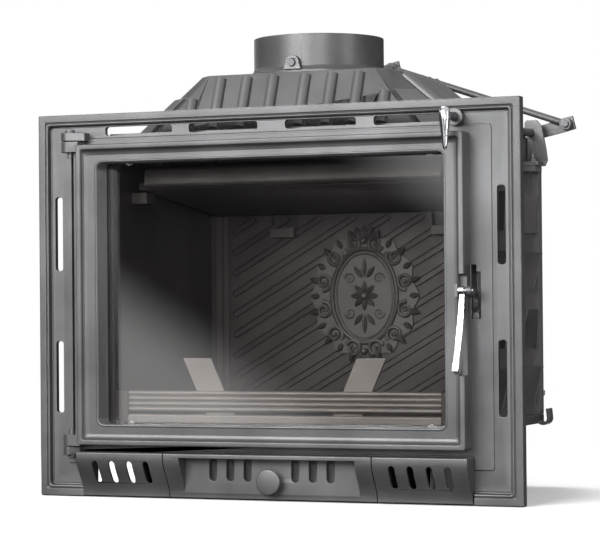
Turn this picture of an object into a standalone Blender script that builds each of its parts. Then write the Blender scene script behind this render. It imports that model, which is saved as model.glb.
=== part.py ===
"""Cast-iron fireplace insert: front frame, glazed door, ash drawer, firebox, smoke hood and flue damper.

Metres, +Z up. The origin is on the floor, under the middle of the insert. The front faces -Y.
The rim of the front frame lies in the plane y = FRONT_Y, and `deep(d)` is the plane d metres behind it.
"""

import math

import bmesh
import bpy
from mathutils import Matrix, Vector

# ---------------------------------------------------------------- driving dimensions
FRAME_WIDTH, FRAME_HEIGHT = 0.690, 0.520
FRONT_Y = -0.190
DEPTH = 0.369
GAP = 0.0003  # clearance between pieces that touch

RIM = 0.015  # flat rim around the front frame
PANEL_DEPTH = 0.006  # the panel lies this far behind the rim
FRAME_THICK = 0.014
PAD_HALF, PAD_LOW, PAD_HIGH = 0.305, 0.045, 0.487  # raised land around the door
PAD_DEPTH = 0.004
SLOT_CORNER = 0.004
TOP_SLOTS = (-0.195, -0.070, 0.070, 0.195)  # their middles
TOP_SLOT_HALF, TOP_SLOT_LOW, TOP_SLOT_HIGH = 0.050, 0.490, 0.502
SIDE_SLOT_X, SIDE_SLOT_HALF = 0.317, 0.0055
SIDE_SLOT_HEIGHTS = ((0.113, 0.211), (0.307, 0.408))
WINDOW_HALF, WINDOW_LOW, WINDOW_HIGH = 0.2625, 0.0845, 0.4635
RING_HALF, RING_LOW, RING_HIGH, RING_BACK = 0.285, 0.004, 0.486, 0.0277

APRON_HALF, APRON_HIGH, APRON_PROUD = 0.278, 0.0615, 0.024
DRAWER_HALF = 0.148
POCKET_HALF = 0.125
GRILLE_SLOTS = (0.175, 0.200, 0.226, 0.251)
DRAWER_SLOTS = (0.034, 0.059, 0.084)

DOOR_HALF, DOOR_LOW, DOOR_HIGH = 0.276, 0.071, 0.477
DOOR_FRONT, DOOR_FACE, DOOR_BACK = -0.024, -0.016, 0.003
FLANGE_HALF, FLANGE_LOW, FLANGE_HIGH, FLANGE_BACK = 0.2605, 0.0865, 0.4615, 0.012
GLASS_VIEW = (0.247, 0.099, 0.452)  # half width, bottom and top of the opening
HINGE_X, HINGE_DEPTH = -0.291, -0.009
EAR_RADIUS, HINGE_PIN_RADIUS = 0.012, 0.004

HANDLE_X, HANDLE_DEPTH, HANDLE_Z = 0.2712, -0.0175, 0.274
HANDLE_WIDTH, HANDLE_THICK = 0.008, 0.009
HANDLE_TIP_DEPTH, HANDLE_TIP_Z = -0.045, 0.171
HOOK_X, HOOK_WIDTH = 0.2815, 0.0066
HANDLE_PIN_RADIUS = 0.003

LEVER_X, LEVER_Z = 0.259, 0.496
LEVER_DEPTH, LEVER_TIP_Z = -0.042, 0.480
SHAFT_RADIUS = 0.0055
CRANK_X, CRANK_Z = 0.048, 0.012  # from a damper shaft to its link pin
CRANK_DEPTH, CRANK_THICK, CRANK_HUB = 0.3455, 0.005, 0.0085
CRANK_END_HALF, CRANK_END_PAST, CRANK_END_LONG = 0.0095, 0.010, 0.018
LINK_DEPTH, LINK_RADIUS = 0.3390, 0.0048
LINK_PIN_RADIUS = 0.003

BASE_LOW, BASE_HIGH = 0.088, 0.100
BODY_FRONT = 0.028
WALL_IN, WALL_OUT = 0.245, 0.253
WALL_HIGH = 0.4875
BACK_HALF = 0.262
RIB_OUT = 0.278
ASH_BOX_HALF, ASH_BOX_BACK = 0.215, 0.345
GRATE_HALF, GRATE_FRONT, GRATE_BACK = 0.110, 0.110, 0.270

HOOD_LOW, HOOD_TOP = 0.4878, 0.572
HOOD_FOOT = (0.236, 0.043, 0.355, 0.045)  # half width, front, back, corner cut
HOOD_ROOF = (0.152, 0.076, 0.300, 0.030)
HOOD_WALL = 0.006
FRONT_RIBS = (-0.102, -0.063, -0.024, 0.0225, 0.0615, 0.100)
SIDE_RIBS = (0.115, 0.145, 0.175, 0.205, 0.235)

COLLAR_DEPTH = 0.178
COLLAR_RADIUS, COLLAR_WALL, COLLAR_TOP = 0.090, 0.005, 0.625
AXLE_Z, AXLE_RADIUS = 0.585, 0.005
PLATE_RADIUS = 0.082


def deep(depth):
    return FRONT_Y + depth


# ---------------------------------------------------------------- scene, collections, materials
for old in list(bpy.data.objects):
    bpy.data.objects.remove(old)

PARTS = bpy.data.collections.new("fireplace_insert")
CUTTERS = bpy.data.collections.new("cutters")
for group in (PARTS, CUTTERS):
    bpy.context.scene.collection.children.link(group)


def material(name, colour, roughness, metallic):
    made = bpy.data.materials.new(name)
    made.use_nodes = True
    shader = made.node_tree.nodes["Principled BSDF"]
    shader.inputs["Base Color"].default_value = (*colour, 1.0)
    shader.inputs["Roughness"].default_value = roughness
    shader.inputs["Metallic"].default_value = metallic
    return made


IRON = material("cast_iron", (0.090, 0.092, 0.095), 0.45, 0.6)
LINING = material("fired_iron", (0.045, 0.042, 0.042), 0.65, 0.4)
CHROME = material("chrome", (0.72, 0.73, 0.75), 0.12, 1.0)
STEEL = material("steel", (0.35, 0.36, 0.37), 0.35, 0.9)
GLASS = material("ceramic_glass", (0.30, 0.29, 0.28), 0.05, 0.0)
ROPE = material("sealing_rope", (0.10, 0.10, 0.10), 0.95, 0.0)


# ---------------------------------------------------------------- shapes
def keep(name, mesh, finish=None):
    """An object of this mesh: a part where it has a finish, and a cutter where it has none."""
    made = bpy.data.objects.new(name, mesh)
    if finish:
        mesh.materials.clear()
        mesh.materials.append(finish)
        PARTS.objects.link(made)
    else:
        CUTTERS.objects.link(made)
        made.hide_render = True
        made.display_type = "WIRE"
    return made


def mesh_of(name, bm):
    mesh = bpy.data.meshes.new(name)
    bm.to_mesh(mesh)
    bm.free()
    return mesh


def box(name, x, y, z, finish=None):
    """x, y and z are each the lowest and highest value, y as a depth behind the rim."""
    size = Vector((x[1] - x[0], y[1] - y[0], z[1] - z[0]))
    middle = Vector((sum(x) / 2, deep(sum(y) / 2), sum(z) / 2))
    bm = bmesh.new()
    bmesh.ops.create_cube(bm, size=1.0, matrix=Matrix.Translation(middle) @ Matrix.Diagonal((*size, 1)))
    return keep(name, mesh_of(name, bm), finish)


def rod(name, start, end, radius, finish=None, sides=16, end_radius=None):
    """A cylinder or cone from start to end, each (x, depth, z)."""
    a, b = (Vector((x, deep(d), z)) for x, d, z in (start, end))
    turn = (b - a).to_track_quat("Z", "Y").to_matrix().to_4x4()
    bm = bmesh.new()
    bmesh.ops.create_cone(
        bm,
        cap_ends=True,
        segments=sides,
        radius1=radius,
        radius2=radius if end_radius is None else end_radius,
        depth=(b - a).length,
        matrix=Matrix.Translation((a + b) / 2) @ turn,
    )
    made = keep(name, mesh_of(name, bm), finish)
    made.data.shade_smooth()
    made.data.set_sharp_from_angle(angle=math.radians(40))
    return made


def solid_from_curve(name, curve, matrix, finish):
    """The curve's mesh with its caps welded, in world space."""
    guide = bpy.data.objects.new(name + "_guide", curve)
    CUTTERS.objects.link(guide)
    guide.matrix_world = matrix
    bpy.context.view_layer.update()
    graph = bpy.context.evaluated_depsgraph_get()
    mesh = bpy.data.meshes.new_from_object(guide.evaluated_get(graph))
    mesh.transform(matrix)
    bpy.data.objects.remove(guide)
    bm = bmesh.new()
    bm.from_mesh(mesh)
    bmesh.ops.remove_doubles(bm, verts=bm.verts, dist=1e-6)
    bmesh.ops.recalc_face_normals(bm, faces=bm.faces)
    bm.to_mesh(mesh)
    bm.free()
    return keep(name, mesh, finish)


def prism(name, axis, low, high, outlines, finish=None):
    """Outlines extruded along an axis: (x, z) along Y, (depth, z) along X and (x, depth) along Z."""
    curve = bpy.data.curves.new(name, "CURVE")
    curve.dimensions = "2D"
    curve.fill_mode = "BOTH"
    curve.extrude = (high - low) / 2
    for points in outlines:
        spline = curve.splines.new("POLY")
        spline.points.add(len(points) - 1)
        spline.use_cyclic_u = True
        for point, (u, v) in zip(spline.points, points):
            point.co = (u, v, 0, 1)
    middle = (low + high) / 2
    if axis == "Y":
        matrix = Matrix(((1, 0, 0, 0), (0, 0, 1, deep(middle)), (0, 1, 0, 0), (0, 0, 0, 1)))
    elif axis == "X":
        matrix = Matrix(((0, 0, 1, middle), (1, 0, 0, FRONT_Y), (0, 1, 0, 0), (0, 0, 0, 1)))
    else:
        matrix = Matrix(((1, 0, 0, 0), (0, 1, 0, FRONT_Y), (0, 0, 1, middle), (0, 0, 0, 1)))
    return solid_from_curve(name, curve, matrix, finish)


def turned(name, centre, profile, finish=None, steps=32):
    """A Screw about the vertical through (x, depth): the profile is (radius, z), top to bottom outside."""
    bm = bmesh.new()
    corners = [bm.verts.new((radius, 0, z)) for radius, z in profile]
    for a, b in zip(corners, corners[1:] + corners[:1]):
        bm.edges.new((a, b))
    made = keep(name, mesh_of(name, bm), finish)
    made.location = (centre[0], deep(centre[1]), 0)
    screw = made.modifiers.new("turn", "SCREW")
    screw.steps = screw.render_steps = steps
    screw.use_merge_vertices = True
    screw.merge_threshold = 1e-5
    return made


def rectangle(half, low, high):
    return [(-half, low), (half, low), (half, high), (-half, high)]


def circle(centre, radius, sides=16):
    turns = (2 * math.pi * i / sides for i in range(sides))
    return [(centre[0] + radius * math.cos(t), centre[1] + radius * math.sin(t)) for t in turns]


def stadium(start, end, radius, steps=5):
    """Outline of a slot with round ends between two centres."""
    along = math.atan2(end[1] - start[1], end[0] - start[0])
    points = []
    for centre, first in ((end, along - math.pi / 2), (start, along + math.pi / 2)):
        for i in range(steps + 1):
            t = first + math.pi * i / steps
            points.append((centre[0] + radius * math.cos(t), centre[1] + radius * math.sin(t)))
    return points


def slot_outline(middle, half, low, high, steps=3):
    """A rectangle with round corners about a vertical middle line."""
    points = []
    for side, z, start in ((1, low, -90), (1, high, 0), (-1, high, 90), (-1, low, 180)):
        centre_x = middle + side * (half - SLOT_CORNER)
        centre_z = z + (SLOT_CORNER if z == low else -SLOT_CORNER)
        for i in range(steps + 1):
            t = math.radians(start + 90 * i / steps)
            points.append((centre_x + SLOT_CORNER * math.cos(t), centre_z + SLOT_CORNER * math.sin(t)))
    return points


def arc(centre, radius, first, last, steps):
    """Points on an arc between two angles in degrees."""
    turns = (math.radians(first + (last - first) * i / steps) for i in range(steps + 1))
    return [(centre[0] + radius * math.cos(t), centre[1] + radius * math.sin(t)) for t in turns]


def band(line, width):
    """Outline of a flat bar that follows a line of points."""
    sides = ([], [])
    for i, (u, v) in enumerate(line):
        before = Vector(line[max(i - 1, 0)])
        after = Vector(line[min(i + 1, len(line) - 1)])
        across = (after - before).normalized() * width / 2
        sides[0].append((u - across.y, v + across.x))
        sides[1].append((u + across.y, v - across.x))
    return sides[0] + sides[1][::-1]


def loft(name, lower, upper, finish=None):
    """A closed solid between two loops with the same number of points."""
    bm = bmesh.new()
    loops = [[bm.verts.new(point) for point in loop] for loop in (lower, upper)]
    bm.faces.new(loops[0][::-1])
    bm.faces.new(loops[1])
    count = len(lower)
    for i in range(count):
        j = (i + 1) % count
        bm.faces.new((loops[0][i], loops[0][j], loops[1][j], loops[1][i]))
    bmesh.ops.recalc_face_normals(bm, faces=bm.faces)
    return keep(name, mesh_of(name, bm), finish)


def boolean(target, operation, others):
    for other in others:
        step = target.modifiers.new(f"{operation.lower()} {other.name}", "BOOLEAN")
        step.operation = operation
        step.object = other
        step.solver = "EXACT"
    return target


def cut(target, *cutters):
    return boolean(target, "DIFFERENCE", cutters)


def add(target, *pieces):
    return boolean(target, "UNION", pieces)


def axis_empty(name, x, depth, z, parent=None):
    made = bpy.data.objects.new(name, None)
    made.empty_display_size = 0.03
    PARTS.objects.link(made)
    made.location = (x, deep(depth), z)
    if parent:
        made.parent = parent
        made.location = made.location - parent.matrix_world.translation
    bpy.context.view_layer.update()
    return made


def hang(empty, *pieces):
    """Moves each piece's origin onto the empty's axis and parents it there. Its shape stays where it is."""
    place = empty.matrix_world.translation
    for piece in pieces:
        shift = piece.location - place
        piece.data.transform(Matrix.Translation(shift))
        for step in piece.modifiers:
            if step.type == "SCREW":
                step.object = empty
        piece.location = (0, 0, 0)
        piece.parent = empty


# ---------------------------------------------------------------- front frame and apron
def ogee(steps=8):
    """The apron's front, from the lip down to the foot, as (depth, z)."""
    lip_z, foot_z = APRON_HIGH - 0.005, 0.002
    line = [(-APRON_PROUD, APRON_HIGH)]
    for i in range(steps + 1):
        t = i / steps
        depth = -APRON_PROUD + (APRON_PROUD - 0.002) * (1 - math.cos(math.pi * t)) / 2
        line.append((depth, lip_z + (foot_z - lip_z) * t))
    return line


def make_front_frame():
    half = FRAME_WIDTH / 2
    frame = box("front_frame", (-half, half), (0, FRAME_THICK), (0, FRAME_HEIGHT), IRON)
    inner = half - RIM
    cut(frame, box("cut_panel", (-inner, inner), (-0.02, PANEL_DEPTH), (RIM, FRAME_HEIGHT - RIM)))
    pad = box("add_pad", (-PAD_HALF, PAD_HALF), (PAD_DEPTH, 0.010), (PAD_LOW, PAD_HIGH))
    ring = box("add_ring", (-RING_HALF, RING_HALF), (0.010, RING_BACK), (RING_LOW, RING_HIGH))
    add(frame, pad, ring)
    apron_half = APRON_HALF + 0.001
    bed = box("cut_apron", (-apron_half, apron_half), (-0.02, PANEL_DEPTH), (-0.01, APRON_HIGH + 0.0015))
    cut(frame, bed)

    boss = rod("add_boss", (LEVER_X, -0.006, LEVER_Z), (LEVER_X, 0.010, LEVER_Z), 0.011, sides=20)
    lugs = []
    for label, low, high, end in (("upper", 0.483, 0.494, -0.269), ("lower", 0.057, 0.068, -0.2795)):
        lugs.append(box(f"add_{label}_lug", (HINGE_X - 0.0119, end), (HINGE_DEPTH, 0.010), (low, high)))
        middle = (HINGE_X, HINGE_DEPTH)
        lugs.append(prism(f"add_{label}_knuckle", "Z", low, high, [circle(middle, EAR_RADIUS)]))
    add(frame, boss, *lugs)

    top_slots = [slot_outline(x, TOP_SLOT_HALF, TOP_SLOT_LOW, TOP_SLOT_HIGH) for x in TOP_SLOTS]
    side_slots = [
        slot_outline(side * SIDE_SLOT_X, SIDE_SLOT_HALF, low, high)
        for side in (-1, 1)
        for low, high in SIDE_SLOT_HEIGHTS
    ]
    windows = [rectangle(WINDOW_HALF, WINDOW_LOW, WINDOW_HIGH), rectangle(0.140, 0.012, 0.057)]
    grille_window = ((0.158, 0.014), (0.270, 0.014), (0.270, 0.055), (0.158, 0.055))
    for side in (-1, 1):
        windows.append([(side * x, z) for x, z in grille_window])
    shaft_bore = circle((LEVER_X, LEVER_Z), SHAFT_RADIUS + GAP)
    openings = top_slots + side_slots + windows + [shaft_bore]
    cut(frame, prism("cut_openings", "Y", -0.03, 0.05, openings))
    cut(frame, box("cut_latch_pocket", (0.2775, 0.2865), (-0.01, 0.0135), (0.238, 0.305)))
    pin_bore = circle((HINGE_X, HINGE_DEPTH), HINGE_PIN_RADIUS + GAP, 12)
    cut(frame, prism("cut_hinge_bores", "Z", 0.050, 0.500, [pin_bore]))
    return frame


def make_side_grille(name, side):
    """A hollow ogee casting, with four slots, closed at its ends and open at the back."""
    back = PANEL_DEPTH - GAP
    low, high = sorted((side * (DRAWER_HALF + 0.001), side * APRON_HALF))
    skin = [(back, 0.0005), *[(d, z) for d, z in reversed(ogee())], (back, APRON_HIGH)]
    grille = prism(name, "X", low, high, [skin], IRON)
    wall = 0.005
    floor = 0.006
    inner_face = [(d + wall, max(z, floor)) for d, z in reversed(ogee()[1:-1])]
    hollow = [(0.02, floor), *inner_face, (0.02, APRON_HIGH - wall)]
    cut(grille, prism(f"cut_{name}_hollow", "X", low + wall, high - wall, [hollow]))
    slots = [stadium((side * x, 0.0245), (side * x, 0.0455), 0.0045) for x in GRILLE_SLOTS]
    return cut(grille, prism(f"cut_{name}_slots", "Y", -0.05, 0.05, slots))


def make_ash_drawer():
    back = PANEL_DEPTH - GAP
    skin = [(back, 0.0005), *[(d, z) for d, z in reversed(ogee())], (back, APRON_HIGH)]
    front = prism("ash_drawer_front", "X", -DRAWER_HALF, DRAWER_HALF, [skin], IRON)
    cut(front, box("cut_drawer_pocket", (-POCKET_HALF, POCKET_HALF), (-0.05, -0.003), (-0.01, 0.0555)))
    slots = [
        stadium((side * x, 0.0305), (side * x, 0.0495), 0.0055) for side in (-1, 1) for x in DRAWER_SLOTS
    ]
    knob_z = 0.0255
    slots.append(circle((0, knob_z), 0.0043, 12))
    cut(front, prism("cut_drawer_slots", "Y", -0.05, 0.05, slots))

    knob = rod("ash_drawer_knob", (0, -0.0135, knob_z), (0, -0.0033, knob_z), 0.0155, IRON, 28)
    face = rod("add_knob_face", (0, -0.016, knob_z), (0, -0.0125, knob_z), 0.0170, sides=28)
    stud = rod("add_knob_stud", (0, -0.006, knob_z), (0, 0.0135, knob_z), 0.0040, sides=12)
    add(knob, face, stud)
    nut = rod("knob_nut", (0, back + GAP, knob_z), (0, back + 0.006, knob_z), 0.0075, STEEL, 6)
    cut(nut, rod("cut_knob_nut", (0, -0.01, knob_z), (0, 0.03, knob_z), 0.0043, sides=12))

    pan = box("ash_pan", (-0.132, 0.132), (0.0148, 0.250), (0.016, 0.052), STEEL)
    cut(pan, box("cut_ash_pan", (-0.1295, 0.1295), (0.0173, 0.2475), (0.0185, 0.06)))
    return [front, knob, nut, pan]


# ---------------------------------------------------------------- door
def make_door_frame():
    door = box(
        "door_frame", (-DOOR_HALF, DOOR_HALF), (DOOR_FRONT, DOOR_BACK), (DOOR_LOW, DOOR_HIGH), IRON
    )
    rim = 0.012
    inner = DOOR_HALF - rim
    face = box("cut_door_face", (-inner, inner), (-0.05, DOOR_FACE), (DOOR_LOW + rim, DOOR_HIGH - rim))
    flange = box(
        "add_door_flange", (-FLANGE_HALF, FLANGE_HALF), (-0.010, FLANGE_BACK), (FLANGE_LOW, FLANGE_HIGH)
    )
    groove = prism(
        "cut_rope_groove",
        "Y",
        -0.0031,
        0.0110,
        [rectangle(0.2756, 0.0714, 0.4766), rectangle(0.2684, 0.0786, 0.4694)],
    )
    cut(door, face)
    add(door, flange)
    cheek_z = (HANDLE_Z - 0.012, HANDLE_Z + 0.012)
    cheek = box("add_handle_cheek", (0.2605, 0.2668), (-0.0235, -0.012), cheek_z)
    stile = box("add_hinge_stile", (HINGE_X + 0.0038, -0.272), (-0.009, 0.002), (0.080, 0.470))
    ears = []
    for label, low, high in (("upper", 0.4674, 0.4815), ("lower", 0.0695, 0.0845)):
        depths = (HINGE_DEPTH - EAR_RADIUS, 0.001)
        ears.append(box(f"add_{label}_ear", (HINGE_X, -0.270), depths, (low, high)))
        middle = (HINGE_X, HINGE_DEPTH)
        ears.append(prism(f"add_{label}_ear_end", "Z", low, high, [circle(middle, EAR_RADIUS - 0.0002)]))
    add(door, cheek, stile, *ears)
    view, low, high = GLASS_VIEW
    pivot = (HANDLE_DEPTH, HANDLE_Z)
    cut(
        door,
        groove,
        box("cut_door_view", (-view, view), (-0.05, 0.05), (low, high)),
        box("cut_handle_notch", (0.2668, 0.290), (-0.05, -0.0105), (0.163, 0.298)),
        rod("cut_handle_pin", (0.24, *pivot), (0.30, *pivot), HANDLE_PIN_RADIUS + GAP, sides=12),
        rod("cut_pin_head", (0.2574, *pivot), (0.2606, *pivot), 0.0049, sides=12),
        prism("cut_ear_bores", "Z", 0.05, 0.50, [circle((HINGE_X, HINGE_DEPTH), HINGE_PIN_RADIUS + GAP, 12)]),
    )
    return door


def make_door_seals():
    """The rope in the back of the door, and the flat rope under the glass."""
    curve = bpy.data.curves.new("door_rope", "CURVE")
    curve.dimensions = "3D"
    curve.bevel_depth = 0.0031
    curve.bevel_resolution = 1
    half, low, high, corner = 0.272, 0.075, 0.473, 0.0006
    spline = curve.splines.new("POLY")
    turns = [(half, low, -90), (half, high, 0), (-half, high, 90), (-half, low, 180)]
    points = []
    for x, z, start in turns:
        for step in (0, 45, 90):
            t = math.radians(start + step)
            middle_x, middle_z = x - math.copysign(corner, x), z + (corner if z == low else -corner)
            points.append((middle_x + corner * math.cos(t), deep(0.0002), middle_z + corner * math.sin(t)))
    spline.points.add(len(points) - 1)
    spline.use_cyclic_u = True
    for point, place in zip(spline.points, points):
        point.co = (*place, 1)
    rope = solid_from_curve("door_gasket", curve, Matrix.Identity(4), ROPE)
    tape = prism(
        "glass_gasket",
        "Y",
        FLANGE_BACK + GAP,
        0.0142,
        [rectangle(0.2512, 0.0948, 0.4562), rectangle(0.2475, 0.0985, 0.4525)],
        ROPE,
    )
    return [rope, tape]


def make_glazing():
    pane = box("door_glass", (-0.2515, 0.2515), (0.0145, 0.0185), (0.0945, 0.4565), GLASS)
    made = [pane]
    for label, x, z in (
        ("top_left", -0.216, 0.4555),
        ("top_right", 0.216, 0.4555),
        ("bottom_left", -0.216, 0.0955),
        ("bottom_right", 0.216, 0.0955),
    ):
        clip = rod(f"glass_clip_{label}", (x, 0.0188, z), (x, 0.0208, z), 0.0070, STEEL)
        head = rod(f"add_clip_head_{label}", (x, 0.0200, z), (x, 0.0235, z), 0.0038, sides=6)
        made.append(add(clip, head))
    return made


def make_hinge_pins():
    pins = []
    axis = (HINGE_X, HINGE_DEPTH)
    for label, low, high, head_low, head_high in (
        ("upper", 0.4600, 0.4960, 0.4943, 0.4983),
        ("lower", 0.0560, 0.0920, 0.0545, 0.0567),
    ):
        pin = rod(f"hinge_pin_{label}", (*axis, low), (*axis, high), HINGE_PIN_RADIUS, STEEL, 12)
        pins.append(add(pin, rod(f"add_{label}_pin_head", (*axis, head_low), (*axis, head_high), 0.0065)))
    return pins


def make_door_handle():
    pivot = (HANDLE_DEPTH, HANDLE_Z)
    low, high = HANDLE_X - HANDLE_WIDTH / 2, HANDLE_X + HANDLE_WIDTH / 2
    bend = (HANDLE_DEPTH - 0.003, HANDLE_Z - 0.020)
    line = [pivot, bend, (-0.0305, 0.222), (HANDLE_TIP_DEPTH, HANDLE_TIP_Z)]
    handle = prism("door_handle", "X", low, high, [band(line, HANDLE_THICK)], CHROME)
    add(handle, prism("add_handle_eye", "X", low + 0.0002, high - 0.0002, [circle(pivot, 0.006)]))
    pin_bore = ("cut_handle_bore", (0.25, *pivot), (0.30, *pivot), HANDLE_PIN_RADIUS + GAP)
    cut(handle, rod(*pin_bore, sides=12))

    pin = rod("handle_pin", (0.2590, *pivot), (0.2868, *pivot), HANDLE_PIN_RADIUS, STEEL, 12)
    add(pin, rod("add_handle_pin_head", (0.2578, *pivot), (0.2602, *pivot), 0.0045, sides=12))

    low, high = HOOK_X - HOOK_WIDTH / 2, HOOK_X + HOOK_WIDTH / 2
    claw = arc((HANDLE_DEPTH + 0.016, HANDLE_Z - 0.012), 0.0115, 150, -60, 7)
    hook = prism("latch_hook", "X", low, high, [band(claw, 0.005)], STEEL)
    add(hook, prism("add_hook_eye", "X", low + 0.0002, high - 0.0002, [circle(pivot, 0.0062)]))
    cut(hook, rod("cut_hook_bore", (0.25, *pivot), (0.30, *pivot), HANDLE_PIN_RADIUS + GAP, sides=12))
    keeper = box("latch_keeper", (0.2778, 0.2862), (0.0065, 0.0132), (0.2383, 0.2460), STEEL)
    return handle, pin, hook, keeper


# ---------------------------------------------------------------- firebox
def make_side_wall(name, side):
    """The wall with its flanges, inside ledges and two outside rows of slanted ribs."""

    def span(near, far):
        return tuple(sorted((side * near, side * far)))

    wall = box(name, span(WALL_IN, WALL_OUT), (BODY_FRONT, 0.360), (BASE_HIGH + GAP, WALL_HIGH), IRON)
    low, high = BASE_HIGH + GAP, WALL_HIGH
    pieces = [
        box(f"add_{name}_front", span(WALL_OUT - 0.002, RING_HALF), (BODY_FRONT, 0.036), (low, high)),
        box(f"add_{name}_back", span(WALL_OUT - 0.002, BACK_HALF), (0.350, 0.360), (low, high - 0.004)),
        box(f"add_{name}_lug", span(WALL_OUT - 0.002, 0.274), (0.296, 0.330), (0.4405, 0.4485)),
    ]
    for label, depths, top in (
        ("baffle_ledge", (0.085, 0.110), 0.4150),
        ("top_ledge_front", (0.135, 0.160), 0.4697),
        ("top_ledge_back", (0.310, 0.335), 0.4697),
    ):
        pieces.append(box(f"add_{name}_{label}", span(0.222, WALL_IN + 0.002), depths, (top - 0.015, top)))
    rib_high, rib_step, lean, half_thick = 0.052, 0.079, 0.008, 0.004
    inner = side * (WALL_OUT - 0.002)
    for column, depth in enumerate((0.085, 0.160, 0.235, 0.305)):
        for row in range(4):
            bottom = 0.118 + row * rib_step
            tilt = lean if (row + column) % 2 else -lean
            foot = (depth - tilt, side * (RIB_OUT - 0.008), bottom)
            head = (depth + tilt, side * RIB_OUT, bottom + rib_high)
            ends = []
            for middle, outer, z in (foot, head):
                near, far = deep(middle - half_thick), deep(middle + half_thick)
                ends.append([(inner, near, z), (outer, near, z), (outer, far, z), (inner, far, z)])
            pieces.append(loft(f"add_{name}_rib_{column}_{row}", *ends))
    add(wall, *pieces)
    bolts = [circle((side * 0.275, z), 0.0034, 8) for z in (0.135, 0.460)]
    cut(wall, prism(f"cut_{name}_bolts", "Y", 0.02, 0.05, bolts))
    return wall


def make_frame_bolts():
    """Bolts that hold the firebox flanges to the frame, in blind holes of the frame's ring."""
    bolts, bores = [], []
    for side, side_label in ((-1, "left"), (1, "right")):
        for z, label in ((0.135, "lower"), (0.460, "upper")):
            name = f"frame_bolt_{label}_{side_label}"
            x = side * 0.275
            bolt = rod(name, (x, 0.018, z), (x, 0.040, z), 0.003, STEEL, 8)
            add(bolt, rod(f"add_{name}", (x, 0.0363, z), (x, 0.0413, z), 0.0062, sides=6))
            bolts.append(bolt)
            bores.append(circle((x, z), 0.0034, 8))
    return bolts, prism("cut_frame_bolts", "Y", 0.0175, 0.05, bores)


def make_back():
    back = box("back_wall", (-BACK_HALF, BACK_HALF), (0.3603, DEPTH), (BASE_HIGH + GAP, WALL_HIGH), IRON)
    bolts, holes = [], []
    for side, side_label in ((-1, "left"), (1, "right")):
        for z, label in ((0.130, "lower"), (0.462, "upper")):
            name = f"back_bolt_{label}_{side_label}"
            x = side * 0.2575
            bolt = rod(name, (x, 0.3613, z), (x, 0.372, z), 0.0024, STEEL, 8)
            add(bolt, rod(f"add_{name}", (x, DEPTH + GAP, z), (x, DEPTH + 0.0045, z), 0.0060, sides=6))
            bolts.append(bolt)
            holes.append(circle((x, z), 0.0028, 8))
    cut(back, prism("cut_back_bolts", "Y", 0.3609, 0.38, holes))

    low = BASE_HIGH + GAP
    front = 0.3490
    liner = box("back_liner", (-0.2447, 0.2447), (front, 0.3598), (low, 0.3895), LINING)
    notches, ledges = [], []
    for side in (-1, 1):
        notch = ((0.1015, 0.400), (0.1490, 0.400), (0.1445, 0.3575), (0.1060, 0.3575))
        notches.append([(side * x, z) for x, z in notch])
        label = "left" if side < 0 else "right"
        across = sorted((side * 0.1065, side * 0.1440))
        ledges.append(box(f"add_ledge_{label}", across, (0.336, 0.3595), (0.3560, 0.3700)))
    cut(liner, prism("cut_liner_notches", "Y", 0.330, 0.370, notches))
    middle = (0, 0.270)
    pieces = [rod("add_medallion_foot", (0, 0.3460, middle[1]), (0, 0.3500, middle[1]), 0.012)]
    ovals = []
    for x_radius, z_radius in ((0.090, 0.0985), (0.0475, 0.065)):
        turns = (2 * math.pi * i / 28 for i in range(28))
        ovals.append([(x_radius * math.cos(t), middle[1] + z_radius * math.sin(t)) for t in turns])
    pieces.append(prism("add_medallion", "Y", front - 0.0045, 0.3510, ovals))
    pieces.append(prism("add_medallion_core", "Y", front - 0.0025, 0.3510, [circle(middle, 0.036, 20)]))
    pieces += ledges
    add(liner, *pieces)
    return [back, liner, *bolts]


def make_base():
    plate = box("base_plate", (-BACK_HALF, BACK_HALF), (BODY_FRONT, DEPTH), (BASE_LOW, BASE_HIGH), IRON)
    hooks = []
    for side, label in ((-1, "left"), (1, "right")):
        middle = (0.2672, 0.0952)
        line = [*arc(middle, 0.0078, 180, 360, 8), (0.2735, 0.1090)]
        if side < 0:
            line = [(-x, z) for x, z in line]
        hooks.append(prism(f"add_{label}_hook", "Y", 0.345, 0.365, [band(line, 0.004)]))
    add(plate, *hooks)
    half = GRATE_HALF
    ledge = 0.008
    hole_depths = (GRATE_FRONT + ledge, GRATE_BACK - ledge)
    cut(
        plate,
        box("cut_grate_seat", (-half, half), (GRATE_FRONT, GRATE_BACK), (0.0945, 0.12)),
        box("cut_grate_hole", (-half + ledge, half - ledge), hole_depths, (0.05, 0.12)),
    )
    grate = box(
        "grate",
        (-half + 0.0006, half - 0.0006),
        (GRATE_FRONT + 0.0006, GRATE_BACK - 0.0006),
        (0.0945 + GAP, BASE_HIGH),
        LINING,
    )
    slots = [
        [(x - 0.005, d) for d in (0.128, 0.252)] + [(x + 0.005, d) for d in (0.252, 0.128)]
        for x in (-0.084 + 0.021 * i for i in range(9))
    ]
    cut(grate, prism("cut_grate_slots", "Z", 0.05, 0.15, slots))

    depths = (BODY_FRONT, ASH_BOX_BACK)
    housing = box("ash_box", (-ASH_BOX_HALF, ASH_BOX_HALF), depths, (0, BASE_LOW - GAP), IRON)
    wall = 0.005
    inner = ASH_BOX_HALF - wall
    cut(housing, box("cut_ash_box", (-inner, inner), (-0.01, ASH_BOX_BACK - wall), (wall, 0.2)))
    rails = [
        box(f"add_ash_rail_{side}", sorted((side * 0.100, side * 0.120)), (0.030, 0.300), (0.003, 0.0155))
        for side in (-1, 1)
    ]
    add(housing, *rails)
    return [plate, grate, housing]


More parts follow.
